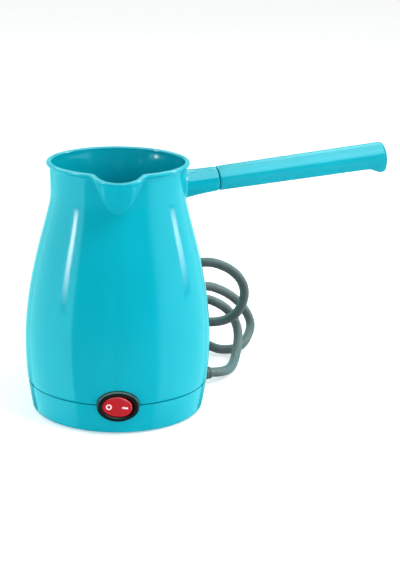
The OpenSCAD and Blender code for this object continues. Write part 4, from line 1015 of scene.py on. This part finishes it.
class COFFEEPOT_OT_stage(bpy.types.Operator):
    """Set the white floor, the even surrounding light and the panels that reflections show."""

    bl_idname = "coffeepot.stage"
    bl_label = "Stage"

    def execute(self, context):
        studio = context.scene.coffeepot_studio
        context.scene.view_settings.view_transform = "Standard"
        world = bpy.data.worlds.new("even_light")
        world.use_nodes = True
        tree = world.node_tree
        sky = tree.nodes["Background"]
        sky.inputs["Color"].default_value = linear("#ffffff")
        rays = add_node(tree, "ShaderNodeLightPath")
        strength = add_node(
            tree, "ShaderNodeMapRange",
            {"Value": rays.outputs["Is Glossy Ray"], "To Min": studio.sky, "To Max": studio.gloss_sky})
        # the paper behind stays white to the eye while it lights the pot less
        seen = add_node(
            tree, "ShaderNodeMapRange",
            {"Value": rays.outputs["Is Camera Ray"], "To Min": strength.outputs["Result"],
             "To Max": 1.0})
        tree.links.new(seen.outputs["Result"], sky.inputs["Strength"])
        context.scene.world = world
        floor = mesh_piece(
            "floor", [(-3000, -850, 0), (3000, -850, 0), (3000, 3500, 0), (-3000, 3500, 0)],
            [(0, 1, 2, 3)])
        paper, tree, shader = start_material("white_paper", Roughness=0.9)
        tinted(tree, shader, mottle(tree, 40), "#f4f4f4", "#f7f7f7")
        # paper lit from below, so that only the closest shadows show
        shader.inputs["Emission Color"].default_value = linear("#ffffff")
        shader.inputs["Emission Strength"].default_value = 0.42
        floor.data.materials.append(paper)
        floor.visible_glossy = False
        for panel in PANELS:
            self.panel(studio, *panel)
        self.lamp("key_light", (0.5, -0.35, 1.1), 0.4, studio.key)
        self.lamp("left_light", (-1.2, -0.3, 0.35), 0.8, studio.side)
        self.lamp("right_light", (1.2, -0.15, 0.35), 0.8, studio.side)
        return {"FINISHED"}

    def lamp(self, name, place, size, power):
        """A square soft lamp aimed at the pot, with no reflection of its own."""
        lamp = bpy.data.lights.new(name, "AREA")
        lamp.shape, lamp.size, lamp.energy = "SQUARE", size, power
        holder = bpy.data.objects.new(name, lamp)
        place = Vector(place)
        holder.matrix_world = Matrix.Translation(place) @ (
            (Vector((0, 0, 0.1)) - place).to_track_quat("-Z", "Y").to_matrix().to_4x4())
        holder.visible_glossy = False
        bpy.context.scene.collection.objects.link(holder)

    def panel(self, studio, name, sides, heights, brightness, fades, radius, tint):
        """A panel on a sphere about the pot, seen only in gloss, with edges that fade out."""
        columns, rows = 41, 25
        left, right, other = fades
        points, glow = [], []
        for side in np.linspace(*sides, columns):
            for height in np.linspace(*heights, rows):
                a, e = math.radians(side), math.radians(height)
                flat = radius * math.cos(e)
                points.append((flat * math.sin(a), -flat * math.cos(a),
                               PANEL_HEIGHT + radius * math.sin(e)))
                inside = min((side - sides[0]) / left, (sides[1] - side) / right,
                             (height - heights[0]) / other, (heights[1] - height) / other, 1.0)
                glow.append(brightness * studio.panels * inside * inside * (3 - 2 * inside))
        faces = [(k, k + 1, k + rows + 1, k + rows)
                 for k in range((columns - 1) * rows) if (k + 1) % rows]
        card = mesh_piece(name, points, faces)
        card.data.attributes.new("glow", "FLOAT", "POINT").data.foreach_set("value", glow)
        material, tree, shader = start_material(
            name + "_glow", Base_Color=linear("#000000"), Specular_IOR_Level=0.0,
            Emission_Color=linear(tint or studio.panel_tint))
        level_of = add_node(tree, "ShaderNodeAttribute", attribute_name="glow")
        tree.links.new(level_of.outputs["Fac"], shader.inputs["Emission Strength"])
        card.data.materials.append(material)
        card.visible_camera = card.visible_diffuse = card.visible_shadow = False
        card.visible_transmission = card.visible_volume_scatter = False


class COFFEEPOT_PT_pot(bpy.types.Panel):
    """Coffee pot panel in the 3D view's sidebar."""

    bl_idname = "COFFEEPOT_PT_pot"
    bl_label = "Coffee Pot"
    bl_space_type = "VIEW_3D"
    bl_region_type = "UI"
    bl_category = "Coffee Pot"

    def draw(self, context):
        scene = context.scene
        for settings in (scene.coffeepot_colours, scene.coffeepot_sizes, scene.coffeepot_studio):
            box = self.layout.box()
            for name in settings.bl_rna.properties.keys():
                if name not in ("rna_type", "name"):
                    box.prop(settings, name)
        for operator in OPERATORS:
            self.layout.operator(operator.bl_idname)


OPERATORS = (
    COFFEEPOT_OT_camera,
    COFFEEPOT_OT_mains_lead,
    COFFEEPOT_OT_jug,
    COFFEEPOT_OT_handle,
    COFFEEPOT_OT_base,
    COFFEEPOT_OT_switch,
    COFFEEPOT_OT_heater,
    COFFEEPOT_OT_wiring,
    COFFEEPOT_OT_stage,
)
SETTINGS = (
    ("coffeepot_colours", CoffeePotColours),
    ("coffeepot_sizes", CoffeePotSizes),
    ("coffeepot_studio", CoffeePotStudio),
)
CLASSES = tuple(kind for _, kind in SETTINGS) + OPERATORS + (COFFEEPOT_PT_pot,)


def register():
    for kind in CLASSES:
        bpy.utils.register_class(kind)
    for name, kind in SETTINGS:
        setattr(bpy.types.Scene, name, bpy.props.PointerProperty(type=kind))


def unregister():
    for name, _ in SETTINGS:
        delattr(bpy.types.Scene, name)
    for kind in reversed(CLASSES):
        bpy.utils.unregister_class(kind)


def main():
    register()
    bpy.ops.coffeepot.camera()
    bpy.ops.coffeepot.mains_lead()
    bpy.ops.coffeepot.jug()
    bpy.ops.coffeepot.handle()
    bpy.ops.coffeepot.base()
    bpy.ops.coffeepot.switch()
    bpy.ops.coffeepot.heater()
    bpy.ops.coffeepot.wiring()
    bpy.ops.coffeepot.stage()


if __name__ == "__main__":
    main()
